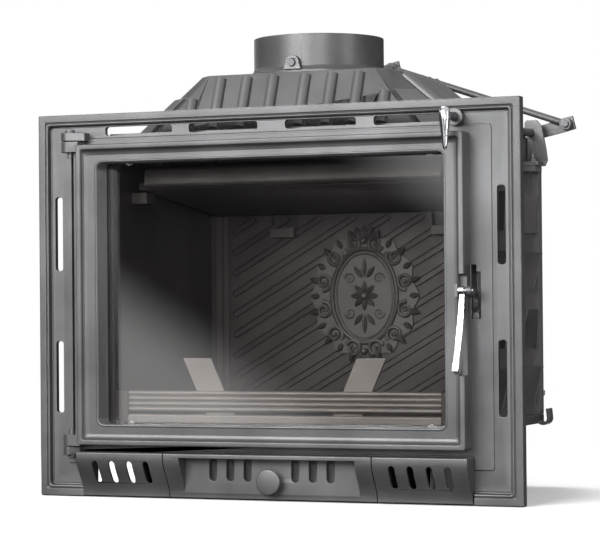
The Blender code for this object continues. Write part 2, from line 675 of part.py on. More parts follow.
def make_baffles():
    slab = [(0.345, 0.3905), (0.345, 0.3975), (0.080, 0.4290), (0.076, 0.4190)]
    lower = prism("lower_baffle", "X", -0.230, 0.230, [slab], LINING)
    roll = [(0.0900, 0.4270), (0.0900, 0.4480), *arc((0.0740, 0.4400), 0.0080, 90, 150, 2)]
    roll += [(0.0650, 0.4330), *arc((0.0705, 0.4265), 0.0060, 180, 270, 2)]
    add(lower, prism("add_baffle_roll", "X", -0.216, 0.216, [roll]))
    upper = box("upper_baffle", (-0.2440, 0.2440), (0.120, 0.3480), (0.4700, 0.4760), LINING)
    return [lower, upper]


def make_log_guard():
    """The ribbed bar across the front of the fire, its end brackets and the two slanted log plates."""
    ridge, bar_low, bar_high = 0.00725, 0.114, 0.143
    front, back = 0.0335, 0.0385
    outline = [(back, bar_low), (back, bar_high)]
    for i in range(4):
        top = bar_high - i * ridge
        outline += [(front, top), (front - 0.002, top - 0.003)]
        outline += [(front, top - 0.0062), (front + 0.001, top - 0.0068)]
    bar = prism("log_bar", "X", -0.2255, 0.2255, [outline], LINING)
    tongues = [
        box(f"add_tongue_{side}", sorted((side * 0.223, side * 0.236)), (0.0345, 0.0375), (0.118, 0.141))
        for side in (-1, 1)
    ]
    add(bar, *tongues)
    made = [bar]
    for side, label in ((-1, "left"), (1, "right")):
        name = f"log_bar_bracket_{label}"
        across = sorted((side * 0.2262, side * 0.2445))
        bracket = box(name, across, (0.0295, 0.0480), (BASE_HIGH + GAP, 0.142), LINING)
        slot = box(f"cut_{name}", sorted((side * 0.220, side * 0.2368)), (0.0340, 0.0380), (0.117, 0.16))
        made.append(cut(bracket, slot))
        top, foot, half = 0.126, 0.087, 0.0205
        low = BASE_HIGH + GAP
        outline = [
            (side * (foot - half), low),
            (side * (foot + half), low),
            (side * (top + half), 0.187),
            (side * (top - half), 0.187),
        ]
        made.append(prism(f"log_horn_{label}", "Y", 0.0392, 0.0432, [outline], LINING))
    return made


# ---------------------------------------------------------------- smoke hood, flue and damper
def octagon(shape, z, inset=0.0):
    half, front, back, corner = shape
    half, front, back = half - inset, front + inset, back - inset
    plan = [
        (-half + corner, front),
        (half - corner, front),
        (half, front + corner),
        (half, back - corner),
        (half - corner, back),
        (-half + corner, back),
        (-half, back - corner),
        (-half, front + corner),
    ]
    return [(x, deep(d), z) for x, d in plan]


def slope_point(shape_low, shape_high, part, x_part, side):
    """A point on the hood's front (side 0) or on its left or right slope, part of the way up."""
    z = HOOD_LOW + 0.004 + (HOOD_TOP - HOOD_LOW - 0.004) * part
    half = shape_low[0] + (shape_high[0] - shape_low[0]) * part
    front = shape_low[1] + (shape_high[1] - shape_low[1]) * part
    if side == 0:
        return (x_part, front, z)
    return (side * half, x_part, z)


def make_hood():
    hood = loft("smoke_hood", octagon(HOOD_FOOT, HOOD_LOW), octagon(HOOD_ROOF, HOOD_TOP), IRON)
    flange = box("add_hood_flange", (-0.250, 0.250), (0.0290, DEPTH), (HOOD_LOW + 0.0001, HOOD_LOW + 0.006))
    ribs = []
    for i, x in enumerate(FRONT_RIBS):
        start = slope_point(HOOD_FOOT, HOOD_ROOF, 0.06, x, 0)
        end = slope_point(HOOD_FOOT, HOOD_ROOF, 0.93, x, 0)
        ribs.append(rod(f"add_front_rib_{i}", start, end, 0.008, sides=8))
    for side in (-1, 1):
        for i, depth in enumerate(SIDE_RIBS):
            start = slope_point(HOOD_FOOT, HOOD_ROOF, 0.08, depth, side)
            end = slope_point(HOOD_FOOT, HOOD_ROOF, 0.90, depth, side)
            ribs.append(rod(f"add_side_rib_{side}_{i}", start, end, 0.008, sides=8))
    add(hood, flange, *ribs)
    inside = loft(
        "cut_hood_inside",
        octagon(HOOD_FOOT, HOOD_LOW - 0.010, HOOD_WALL - 0.004),
        octagon(HOOD_ROOF, HOOD_TOP - HOOD_WALL, HOOD_WALL + 0.002),
    )
    centre = (0, COLLAR_DEPTH)
    mouth = rod("cut_hood_mouth", (*centre, 0.5), (*centre, 0.6), COLLAR_RADIUS - 0.006, sides=32)
    cut(hood, inside, mouth)
    return hood


def make_collar():
    inner, outer, low = COLLAR_RADIUS - COLLAR_WALL, COLLAR_RADIUS, HOOD_TOP + GAP
    profile = [
        (outer, COLLAR_TOP),
        (outer, low + 0.010),
        (outer + 0.004, low + 0.004),
        (outer + 0.004, low),
        (inner, low),
        (inner, COLLAR_TOP),
    ]
    collar = turned("flue_collar", (0, COLLAR_DEPTH), profile, IRON, 40)
    for label, near, far in (("front", -0.0985, -0.0870), ("back", 0.0870, 0.0985)):
        start = (0, COLLAR_DEPTH + near, AXLE_Z)
        end = (0, COLLAR_DEPTH + far, AXLE_Z)
        add(collar, rod(f"add_{label}_boss", start, end, 0.0095, sides=12))
    bore = rod("cut_axle_bores", (0, 0.05, AXLE_Z), (0, 0.30, AXLE_Z), AXLE_RADIUS + GAP, sides=12)
    return cut(collar, bore)


def make_damper():
    """What turns with the axle: the plate in the collar, the axle, its crank and the upper link pin."""
    centre = (0, COLLAR_DEPTH)
    plate = rod(
        "damper_plate", (*centre, AXLE_Z - 0.002), (*centre, AXLE_Z + 0.002), PLATE_RADIUS, LINING, 32
    )
    near, far = COLLAR_DEPTH - 0.078, COLLAR_DEPTH + 0.078
    sleeve = rod("add_plate_sleeve", (0, near, AXLE_Z), (0, far, AXLE_Z), 0.009, sides=12)
    add(plate, sleeve)
    cut(plate, rod("cut_plate_bore", (0, 0.05, AXLE_Z), (0, 0.30, AXLE_Z), AXLE_RADIUS + GAP, sides=12))
    end = CRANK_DEPTH + CRANK_THICK + 0.002
    axle = rod("damper_axle", (0, 0.0765, AXLE_Z), (0, end, AXLE_Z), AXLE_RADIUS, STEEL, 12)
    crank = make_crank("axle_crank", (0, AXLE_Z), AXLE_RADIUS)
    pin = make_link_pin("link_pin_upper", CRANK_X, AXLE_Z + CRANK_Z)
    return [plate, axle, crank, pin]


def make_crank(name, centre, bore):
    """A flat lever that widens from its shaft to its square end at the link pin."""
    x, z = centre
    tip = (x + CRANK_X, z + CRANK_Z)
    along = math.atan2(CRANK_Z, CRANK_X)
    ahead = Vector((math.cos(along), math.sin(along)))
    across = Vector((-ahead.y, ahead.x)) * CRANK_END_HALF
    end = Vector(tip) + ahead * CRANK_END_PAST
    start = end - ahead * CRANK_END_LONG
    outline = [tuple(point) for point in (start - across, end - across, end + across, start + across)]
    for step in range(0, 181, 30):
        t = along + math.radians(90 + step)
        outline.append((x + CRANK_HUB * math.cos(t), z + CRANK_HUB * math.sin(t)))
    holes = [circle((x, z), bore + GAP, 12), circle(tip, LINK_PIN_RADIUS + GAP, 10)]
    return prism(name, "Y", CRANK_DEPTH, CRANK_DEPTH + CRANK_THICK, [outline, *holes], STEEL)


def make_link_pin(name, x, z):
    front, back = LINK_DEPTH - 0.0062, CRANK_DEPTH + CRANK_THICK + 0.003
    pin = rod(name, (x, front, z), (x, back, z), LINK_PIN_RADIUS, STEEL, 10)
    return add(pin, rod(f"add_{name}", (x, front - 0.003, z), (x, front + 0.0009, z), 0.0058, sides=6))


def make_link_rod():
    lower = (LEVER_X + CRANK_X, LEVER_Z + CRANK_Z)
    upper = (CRANK_X, AXLE_Z + CRANK_Z)
    start = (lower[0], LINK_DEPTH, lower[1])
    end = (upper[0], LINK_DEPTH, upper[1])
    link = rod("link_rod", start, end, LINK_RADIUS, STEEL, 10)
    eyes = []
    for label, (x, z) in (("lower", lower), ("upper", upper)):
        near, far = LINK_DEPTH - 0.0050, LINK_DEPTH + 0.0053
        eyes.append(rod(f"add_{label}_eye", (x, near, z), (x, far, z), 0.0085, sides=16))
    add(link, *eyes)
    bores = [circle(place, LINK_PIN_RADIUS + GAP, 10) for place in (lower, upper)]
    return cut(link, prism("cut_link_bores", "Y", 0.30, 0.40, bores))


def make_damper_lever():
    """The drop-shaped lever at the front, its long shaft, the rear crank and the lower link pin."""
    end = CRANK_DEPTH + CRANK_THICK + 0.002
    shaft = rod("damper_shaft", (LEVER_X, LEVER_DEPTH, LEVER_Z), (LEVER_X, end, LEVER_Z), SHAFT_RADIUS, STEEL)
    outline = arc((LEVER_X, LEVER_Z), 0.0085, 0, 180, 9)
    outline += [(LEVER_X - 0.0040, LEVER_TIP_Z + 0.003), (LEVER_X, LEVER_TIP_Z)]
    outline.append((LEVER_X + 0.0040, LEVER_TIP_Z + 0.003))
    lever = prism("damper_lever", "Y", LEVER_DEPTH - 0.006, LEVER_DEPTH + 0.006, [outline], CHROME)
    socket = ((LEVER_X, LEVER_DEPTH - GAP, LEVER_Z), (LEVER_X, 0, LEVER_Z))
    cut(lever, rod("cut_lever_socket", *socket, SHAFT_RADIUS + GAP))
    crank = make_crank("shaft_crank", (LEVER_X, LEVER_Z), SHAFT_RADIUS)
    pin = make_link_pin("link_pin_lower", LEVER_X + CRANK_X, LEVER_Z + CRANK_Z)
    return [shaft, lever, crank, pin]


def make_shaft_bearing():
    """An angle bracket on the side wall's lug, with the bore that carries the shaft's rear end."""
    front, back = 0.3250, 0.3300
    inner, foot_low = WALL_OUT + 0.0015, 0.4489
    outline = [(inner, foot_low), (0.2795, foot_low), (0.2835, 0.4570), (0.2815, 0.4720), (0.2755, 0.5050)]
    outline += [(0.2680, 0.5140), (0.2535, 0.5140), (0.2508, 0.5110), (0.2508, 0.4885), (inner, 0.4885)]
    bore = circle((LEVER_X, LEVER_Z), SHAFT_RADIUS + GAP)
    bearing = prism("shaft_bearing", "Y", front, back, [outline, bore], IRON)
    foot = box("add_bearing_foot", (inner, 0.278), (0.298, 0.329), (foot_low, 0.4545))
    add(bearing, foot)
    x, depth = 0.267, 0.309
    cut(bearing, prism("cut_bearing_bolt", "Z", 0.44, 0.46, [circle((x, depth), 0.0034, 8)]))
    bolt = rod("bearing_bolt", (x, depth, 0.4492), (x, depth, 0.466), 0.003, STEEL, 8)
    nut = rod("add_bearing_nut", (x, depth, 0.4548), (x, depth, 0.4590), 0.0062, sides=6)
    return bearing, add(bolt, nut)


# ---------------------------------------------------------------- assembly
frame = make_front_frame()
make_side_grille("left_air_grille", -1)
make_side_grille("right_air_grille", 1)
for wall_name, wall_side in (("left_wall", -1), ("right_wall", 1)):
    make_side_wall(wall_name, wall_side)
cut(frame, make_frame_bolts()[1])
make_back()
make_base()
make_baffles()
make_log_guard()
make_hood()
make_collar()
make_shaft_bearing()
make_hinge_pins()

drawer_axis = axis_empty("ash_drawer_slide", 0, 0, 0.0255)
hang(drawer_axis, *make_ash_drawer())

door_axis = axis_empty("door_hinge_axis", HINGE_X, HINGE_DEPTH, 0.274)
hang(door_axis, make_door_frame(), *make_door_seals(), *make_glazing())

handle_axis = axis_empty("door_handle_axis", HANDLE_X, HANDLE_DEPTH, HANDLE_Z, door_axis)
door_handle, handle_pin, latch_hook, latch_keeper = make_door_handle()
hang(handle_axis, door_handle, handle_pin, latch_hook)

lever_axis = axis_empty("damper_lever_axis", LEVER_X, LEVER_DEPTH, LEVER_Z)
hang(lever_axis, *make_damper_lever())
link_axis = axis_empty("link_rod_axis", LEVER_X + CRANK_X, LINK_DEPTH, LEVER_Z + CRANK_Z, lever_axis)
hang(link_axis, make_link_rod())
axle_axis = axis_empty("damper_axle_axis", 0, COLLAR_DEPTH, AXLE_Z)
hang(axle_axis, *make_damper())
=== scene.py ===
"""Looks of a cast-iron fireplace insert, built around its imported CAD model.

Metres, +Z up, the front faces -Y. `deep(d)` is the plane d metres behind the rim of the front frame.
Outlines hold (x, z) along Y, (depth, z) along X and (x, depth) along Z.
"""

import math

import bmesh
import bpy
from mathutils import Matrix, Vector


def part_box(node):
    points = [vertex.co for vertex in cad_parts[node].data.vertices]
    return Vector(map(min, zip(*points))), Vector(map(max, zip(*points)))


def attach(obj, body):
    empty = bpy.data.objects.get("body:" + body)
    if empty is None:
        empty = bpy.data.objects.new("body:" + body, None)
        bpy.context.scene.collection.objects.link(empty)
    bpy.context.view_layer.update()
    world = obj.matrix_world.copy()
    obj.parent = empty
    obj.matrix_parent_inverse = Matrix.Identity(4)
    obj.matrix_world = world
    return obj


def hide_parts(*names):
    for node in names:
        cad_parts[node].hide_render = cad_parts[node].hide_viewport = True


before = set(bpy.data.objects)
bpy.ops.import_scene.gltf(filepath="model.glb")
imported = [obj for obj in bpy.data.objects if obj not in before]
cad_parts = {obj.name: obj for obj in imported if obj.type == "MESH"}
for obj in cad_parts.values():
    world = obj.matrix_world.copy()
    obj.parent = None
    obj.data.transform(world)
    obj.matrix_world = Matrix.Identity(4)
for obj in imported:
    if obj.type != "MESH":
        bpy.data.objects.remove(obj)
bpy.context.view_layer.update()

# ---------------------------------------------------------------- driving dimensions, read from the frame
FRAME_HALF, FRAME_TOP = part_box("front_frame")[1].x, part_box("front_frame")[1].z
FRONT_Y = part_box("base_plate")[0].y - 0.028
DOOR_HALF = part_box("door_frame")[1].x
APRON_HALF, APRON_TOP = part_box("right_air_grille")[1].x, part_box("right_air_grille")[1].z
DRAWER_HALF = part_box("ash_drawer_front")[1].x
COLLAR_FOOT, COLLAR_TOP = (corner.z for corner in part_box("flue_collar"))

# ---------------------------------------------------------------- places and bores that pieces share
DOOR_LOW, DOOR_HIGH = 0.071, 0.477
HINGE_X, HINGE_DEPTH, HINGE_BORE = -0.291, -0.009, 0.0043
PIVOT_DEPTH, PIVOT_Z, PIVOT_BORE = -0.0175, 0.274, 0.0033
LEVER_X, LEVER_Z, LEVER_BORE = 0.259, 0.496, 0.0058
KNOB_Z, KNOB_BORE = 0.0255, 0.0043
COLLAR_DEPTH, AXLE_Z, AXLE_BORE = 0.178, 0.585, 0.0053
HEARTH_LOW, HEARTH_HALF = 0.1003, 0.2255
HOOD_LOW, HOOD_TOP = 0.4878, 0.572
HOOD_FOOT = (0.236, 0.043, 0.355, 0.045)  # half width, front, back, corner cut
HOOD_ROOF = (0.138, 0.076, 0.300, 0.016)


def deep(depth):
    """The y of a plane this far behind the rim of the front frame."""
    return FRONT_Y + depth


# ---------------------------------------------------------------- materials
def put(tree, kind, values=None, **settings):
    """A node of this kind. values gives inputs, by name or number, a value or another node's socket."""
    made = tree.nodes.new(kind)
    for name, value in settings.items():
        setattr(made, name, value)
    for name, value in (values or {}).items():
        if isinstance(value, bpy.types.NodeSocket):
            tree.links.new(value, made.inputs[name])
        else:
            made.inputs[name].default_value = value
    return made


def metal(name, colour, metallic, rough, grain, blotch=0.25, wear=0.0):
    """Cast or drawn metal: clouded colour, uneven gloss, a fine cast grain and brighter worn edges."""
    made = bpy.data.materials.new(name)
    made.use_nodes = True
    tree = made.node_tree
    shader = tree.nodes["Principled BSDF"]
    place = put(tree, "ShaderNodeTexCoord").outputs["Object"]
    cloud = put(tree, "ShaderNodeTexNoise", {"Vector": place, "Scale": 14.0, "Detail": 5.0})
    speck = put(tree, "ShaderNodeTexNoise", {"Vector": place, "Scale": 420.0, "Detail": 3.0})
    tones = put(tree, "ShaderNodeValToRGB", {"Fac": cloud.outputs["Fac"]})
    dark, light = tones.color_ramp.elements
    dark.position, light.position = 0.30, 0.72
    dark.color = (*[c * (1 - blotch) for c in colour], 1)
    light.color = (*[min(c * (1 + blotch), 1) for c in colour], 1)
    tone = tones.outputs["Color"]
    if wear:
        edge = put(tree, "ShaderNodeNewGeometry").outputs["Pointiness"]
        limits = {"Value": edge, "From Min": 0.52, "From Max": 0.60, "To Min": 0.0, "To Max": wear}
        share = put(tree, "ShaderNodeMapRange", limits).outputs["Result"]
        mix = put(tree, "ShaderNodeMix", data_type="RGBA")
        tree.links.new(share, mix.inputs[0])
        tree.links.new(tone, mix.inputs[6])
        mix.inputs[7].default_value = (*[min(c * 2.6 + 0.05, 1) for c in colour], 1)
        tone = mix.outputs[2]
    tree.links.new(tone, shader.inputs["Base Color"])
    limits = {"Value": speck.outputs["Fac"], "From Min": 0.3, "From Max": 0.7}
    limits |= {"To Min": rough - 0.05, "To Max": rough + 0.06}
    gloss = put(tree, "ShaderNodeMapRange", limits)
    tree.links.new(gloss.outputs["Result"], shader.inputs["Roughness"])
    shader.inputs["Metallic"].default_value = metallic
    relief = {"Height": speck.outputs["Fac"], "Strength": grain, "Distance": 0.0006}
    bump = put(tree, "ShaderNodeBump", relief)
    tree.links.new(bump.outputs["Normal"], shader.inputs["Normal"])
    return made


def braided(name, colour):
    """Glass-fibre rope: a diagonal braid of strands."""
    made = bpy.data.materials.new(name)
    made.use_nodes = True
    tree = made.node_tree
    shader = tree.nodes["Principled BSDF"]
    place = put(tree, "ShaderNodeTexCoord").outputs["Object"]
    strands = put(tree, "ShaderNodeTexWave", {"Vector": place, "Scale": 260.0, "Distortion": 2.0})
    strands.bands_direction = "DIAGONAL"
    tones = put(tree, "ShaderNodeValToRGB", {"Fac": strands.outputs["Fac"]})
    tones.color_ramp.elements[0].color = (*[c * 0.5 for c in colour], 1)
    tones.color_ramp.elements[1].color = (*[c * 1.6 for c in colour], 1)
    tree.links.new(tones.outputs["Color"], shader.inputs["Base Color"])
    shader.inputs["Roughness"].default_value = 0.95
    relief = {"Height": strands.outputs["Fac"], "Strength": 0.6, "Distance": 0.0008}
    bump = put(tree, "ShaderNodeBump", relief)
    tree.links.new(bump.outputs["Normal"], shader.inputs["Normal"])
    return made


def pane_glass(name, tint):
    """Thin clear plate: what is behind it shows straight through, with a mirror gloss by angle."""
    made = bpy.data.materials.new(name)
    made.use_nodes = True
    tree = made.node_tree
    tree.nodes.remove(tree.nodes["Principled BSDF"])
    place = put(tree, "ShaderNodeTexCoord").outputs["Object"]
    film = put(tree, "ShaderNodeTexNoise", {"Vector": place, "Scale": 9.0, "Detail": 4.0})
    tones = put(tree, "ShaderNodeValToRGB", {"Fac": film.outputs["Fac"]})
    tones.color_ramp.elements[0].color = (*[c * 0.94 for c in tint], 1)
    tones.color_ramp.elements[1].color = (*tint, 1)
    clear = put(tree, "ShaderNodeBsdfTransparent", {"Color": tones.outputs["Color"]})
    shine = put(tree, "ShaderNodeBsdfGlossy", {"Color": (1, 1, 1, 1), "Roughness": 0.0})
    share = put(tree, "ShaderNodeFresnel", {"IOR": 1.55})
    mix = put(tree, "ShaderNodeMixShader", {"Fac": share.outputs["Fac"]})
    tree.links.new(clear.outputs["BSDF"], mix.inputs[1])
    tree.links.new(shine.outputs["BSDF"], mix.inputs[2])
    tree.links.new(mix.outputs["Shader"], tree.nodes["Material Output"].inputs["Surface"])
    return made


IRON = metal("cast_iron_satin", (0.068, 0.0685, 0.070), 0.45, 0.40, 0.10, wear=0.35)
SOOTED = metal("fired_iron", (0.070, 0.066, 0.068), 0.30, 0.42, 0.15, blotch=0.25, wear=0.4)
ASH_GREY = metal("ash_grey_iron", (0.24, 0.228, 0.222), 0.35, 0.42, 0.30, blotch=0.20, wear=0.3)
BRIGHT = metal("polished_chrome", (0.60, 0.61, 0.63), 1.0, 0.17, 0.02, blotch=0.04)
STEEL = metal("dull_steel", (0.22, 0.22, 0.23), 0.90, 0.34, 0.08, blotch=0.15, wear=0.3)
BLACK_STEEL = metal("blackened_steel", (0.085, 0.085, 0.088), 0.60, 0.46, 0.02, blotch=0.20)
GLASS = pane_glass("ceramic_glass", (0.80, 0.79, 0.78))
ROPE = braided("sealing_rope", (0.10, 0.10, 0.10))


# ---------------------------------------------------------------- shapes
def soften(made, angle=35):
    """Shades smooth, except over edges sharper than angle."""
    made.data.shade_smooth()
    made.data.set_sharp_from_angle(angle=math.radians(angle))
    return made


def from_bmesh(name, bm, finish=None):
    """A new piece with the mesh of bm."""
    bmesh.ops.recalc_face_normals(bm, faces=bm.faces)
    mesh = bpy.data.meshes.new(name)
    bm.to_mesh(mesh)
    bm.free()
    if finish:
        mesh.materials.append(finish)
    made = bpy.data.objects.new(name, mesh)
    bpy.context.scene.collection.objects.link(made)
    return soften(made)


def settle(made):
    """Applies the piece's modifiers."""
    graph = bpy.context.evaluated_depsgraph_get()
    mesh = bpy.data.meshes.new_from_object(made.evaluated_get(graph))
    made.modifiers.clear()
    made.data = mesh
    return made


def combine(target, operation, others):
    """Cuts the others out of target or adds them to it, and removes them."""
    for other in others:
        step = target.modifiers.new(operation, "BOOLEAN")
        step.operation = operation
        step.object = other
        step.solver = "EXACT"
    settle(target)
    for other in others:
        bpy.data.objects.remove(other)
    return target


def cut(target, *others):
    return combine(target, "DIFFERENCE", others)


def add(target, *others):
    return combine(target, "UNION", others)


def bevelled(made, width, segments=2):
    """Adds the modifiers that weld the corners of an imported mesh and round every sharp edge."""
    weld = made.modifiers.new("weld", "WELD")
    weld.merge_threshold = 2e-6
    edge = made.modifiers.new("round_edges", "BEVEL")
    edge.width = width
    edge.segments = segments
    edge.limit_method = "ANGLE"
    edge.angle_limit = math.radians(38)
    return edge


def round_edges(made, width, segments=2):
    """Rounds the sharp edges of a finished piece and keeps its flat faces flat."""
    edge = bevelled(made, width, segments)
    edge.use_clamp_overlap = False
    soften(settle(made), 24)
    flat_faces(made)
    return settle(made)


def flat_faces(made):
    """Lets the largest face at a corner set the normal, so that wide faces shade flat up to their edges."""
    normals = made.modifiers.new("flat_faces", "WEIGHTED_NORMAL")
    normals.mode = "FACE_AREA"
    normals.weight = 100
    normals.keep_sharp = True


def loft(name, loops, finish=None, closed=False):
    """A solid through loops of points with the same count: capped at its ends, or closed into a ring."""
    bm = bmesh.new()
    rows = [[bm.verts.new(point) for point in loop] for loop in loops]
    pairs = list(zip(rows, rows[1:]))
    if closed:
        pairs.append((rows[-1], rows[0]))
    else:
        bm.faces.new(rows[0][::-1])
        bm.faces.new(rows[-1])
    for a, b in pairs:
        for i in range(len(a)):
            j = (i + 1) % len(a)
            bm.faces.new((a[i], a[j], b[j], b[i]))
    return from_bmesh(name, bm, finish)


def box(name, x, y, z, finish=None):
    """x, y and z are each the lowest and highest value, y as a depth."""
    plan = ((x[0], y[0]), (x[1], y[0]), (x[1], y[1]), (x[0], y[1]))
    return loft(name, [[(u, deep(v), height) for u, v in plan] for height in z], finish)


def rod(name, start, end, radius, finish=None, sides=32):
    """A cylinder from start to end, each (x, depth, z)."""
    ends = [Vector((x, deep(depth), z)) for x, depth, z in (start, end)]
    turn = (ends[1] - ends[0]).to_track_quat("Z", "Y")
    disc = [turn @ Vector((*point, 0)) for point in circle((0, 0), radius, sides)]
    return loft(name, [[centre + point for point in disc] for centre in ends], finish)


def prism(name, axis, low, high, outlines, finish=None):
    """Outlines, with holes where one lies inside another, extruded along an axis."""
    curve = bpy.data.curves.new(name, "CURVE")
    curve.dimensions = "2D"
    curve.fill_mode = "BOTH"
    curve.extrude = (high - low) / 2
    for points in outlines:
        spline = curve.splines.new("POLY")
        spline.points.add(len(points) - 1)
        spline.use_cyclic_u = True
        for point, (u, v) in zip(spline.points, points):
            point.co = (u, v, 0, 1)
    middle = (low + high) / 2
    if axis == "Y":
        matrix = Matrix(((1, 0, 0, 0), (0, 0, 1, deep(middle)), (0, 1, 0, 0), (0, 0, 0, 1)))
    elif axis == "X":
        matrix = Matrix(((0, 0, 1, middle), (1, 0, 0, FRONT_Y), (0, 1, 0, 0), (0, 0, 0, 1)))
    else:
        matrix = Matrix(((1, 0, 0, 0), (0, 1, 0, FRONT_Y), (0, 0, 1, middle), (0, 0, 0, 1)))
    return curve_piece(name, curve, matrix, finish)


def curve_piece(name, curve, matrix, finish=None):
    """The curve's mesh, with its caps welded."""
    guide = bpy.data.objects.new(name + "_guide", curve)
    bpy.context.scene.collection.objects.link(guide)
    bpy.context.view_layer.update()
    graph = bpy.context.evaluated_depsgraph_get()
    mesh = bpy.data.meshes.new_from_object(guide.evaluated_get(graph))
    mesh.transform(matrix)
    bpy.data.objects.remove(guide)
    bm = bmesh.new()
    bm.from_mesh(mesh)
    bpy.data.meshes.remove(mesh)
    bmesh.ops.remove_doubles(bm, verts=bm.verts, dist=1e-6)
    return from_bmesh(name, bm, finish)


def tube(name, points, radii, cyclic=False):
    """A round bar through points (x, depth, z), with one radius or one for each point."""
    if not isinstance(radii, list):
        radii = [radii] * len(points)
    curve = bpy.data.curves.new(name, "CURVE")
    curve.dimensions = "3D"
    curve.bevel_depth = 1.0
    curve.bevel_resolution = 3
    curve.use_fill_caps = True
    spline = curve.splines.new("POLY")
    spline.points.add(len(points) - 1)
    spline.use_cyclic_u = cyclic
    for point, (x, depth, z), radius in zip(spline.points, points, radii):
        point.co = (x, deep(depth), z, 1)
        point.radius = radius
    return curve_piece(name, curve, Matrix.Identity(4))


def turned(name, depth, profile, finish, sides):
    """A closed profile of (radius, z), turned about a vertical axis in the middle plane."""
    loops = []
    for u, v in circle((0, 0), 1, sides):
        loops.append([(radius * u, deep(depth + radius * v), z) for radius, z in profile])
    return loft(name, loops, finish, closed=True)


def ellipse(centre, half_u, half_v, sides):
    turns = (2 * math.pi * i / sides for i in range(sides))
    return [(centre[0] + half_u * math.cos(t), centre[1] + half_v * math.sin(t)) for t in turns]


def circle(centre, radius, sides=24):
    return ellipse(centre, radius, radius, sides)


def arc(centre, radius, first, last, steps):
    """Points on an arc between two angles in degrees."""
    turns = (math.radians(first + (last - first) * i / steps) for i in range(steps + 1))
    return [(centre[0] + radius * math.cos(t), centre[1] + radius * math.sin(t)) for t in turns]


def stadium(start, end, radius, steps=10):
    """Outline of a slot with round ends between two centres."""
    lean = math.degrees(math.atan2(end[1] - start[1], end[0] - start[0]))
    return arc(end, radius, lean - 90, lean + 90, steps) + arc(start, radius, lean + 90, lean + 270, steps)


def rectangle(left, right, low, high):
    return [(left, low), (right, low), (right, high), (left, high)]


def rounded(half, low, high, radius, steps=6):
    """Outline of a rectangle with round corners, from its lower right corner on."""
    middle, foot, head = half - radius, low + radius, high - radius
    points = []
    for x, z, first in ((middle, foot, -90), (middle, head, 0), (-middle, head, 90), (-middle, foot, 180)):
        points += arc((x, z), radius, first, first + 90, steps)
    return points


def slot_outline(middle, half, low, high):
    """An air slot: a rectangle with round corners about a vertical middle line."""
    return [(middle + x, z) for x, z in rounded(half, low, high, 0.0040, 4)]


def ring(name, stations, finish=None):
    """A closed moulding around an opening. A station is (half width, low, high, corner radius, depth)."""
    loops = []
    for half, low, high, radius, depth in stations:
        loops.append([(x, deep(depth), z) for x, z in rounded(half, low, high, radius)])
    return loft(name, loops, finish, closed=True)


def place(made, body, *nodes):
    """Rides a finished piece on its body, in place of these CAD nodes."""
    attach(made, body)
    if nodes:
        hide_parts(*nodes)


# ---------------------------------------------------------------- front frame
def frame_rim():
    """Flat outer edge, a thin groove and a half-round bead that steps down to the panel."""
    back, panel, edge_radius, bead_radius = 0.0140, 0.0062, 0.0018, 0.0019
    profile = [(0.0, back)]
    profile += [(edge_radius - x, edge_radius - d) for x, d in arc((0, 0), edge_radius, 0, 90, 5)]
    profile += [(0.0098, 0.0), (0.0103, 0.0006), (0.0105, 0.0020), (0.0114, 0.0020)]
    profile += [(0.0133 + x, 0.0015 - d) for x, d in arc((0, 0), bead_radius, 180, 0, 8)]
    profile += [(0.0155, 0.0045), (0.0160, 0.0068), (0.0178, 0.0070), (0.0182, panel)]
    profile += [(0.0205, panel), (0.0205, back)]
    stations = []
    for inset, depth in profile:
        corner = 0.0015 if inset < 0.010 else 0.0045
        stations.append((FRAME_HALF - inset, inset, FRAME_TOP - inset, corner, depth))
    return ring("front_frame_casting", stations, IRON)


def hinge_lugs():
    """The two lugs that carry the door's pins, one above the upper ear and one under the lower ear."""
    lugs = []
    for low, high, end in ((0.483, 0.494, -0.269), (0.057, 0.068, -0.2795)):
        outline = [(end, 0.010), (end, HINGE_DEPTH)]
        outline += arc((HINGE_X, HINGE_DEPTH), 0.012, -90, -180, 12)
        outline.append((HINGE_X - 0.012, 0.010))
        lugs.append(prism("hinge_lug", "Z", low, high, [outline]))
    return lugs


def frame_openings():
    """Air slots, the door's and the drawer's openings, one behind each grille, and the lever's bore."""
    outlines = [slot_outline(x, 0.050, 0.490, 0.502) for x in (-0.195, -0.070, 0.070, 0.195)]
    for x in (-0.317, 0.317):
        for low, high in ((0.113, 0.211), (0.307, 0.408)):
            outlines.append(slot_outline(x, 0.0055, low, high))
    outlines.append(rounded(0.2625, 0.0845, 0.4635, 0.003))
    outlines.append(rounded(0.140, 0.012, 0.057, 0.002))
    outlines.append(rectangle(-0.270, -0.158, 0.014, 0.055))
    outlines.append(rectangle(0.158, 0.270, 0.014, 0.055))
    outlines.append(circle((LEVER_X, LEVER_Z), LEVER_BORE))
    return outlines


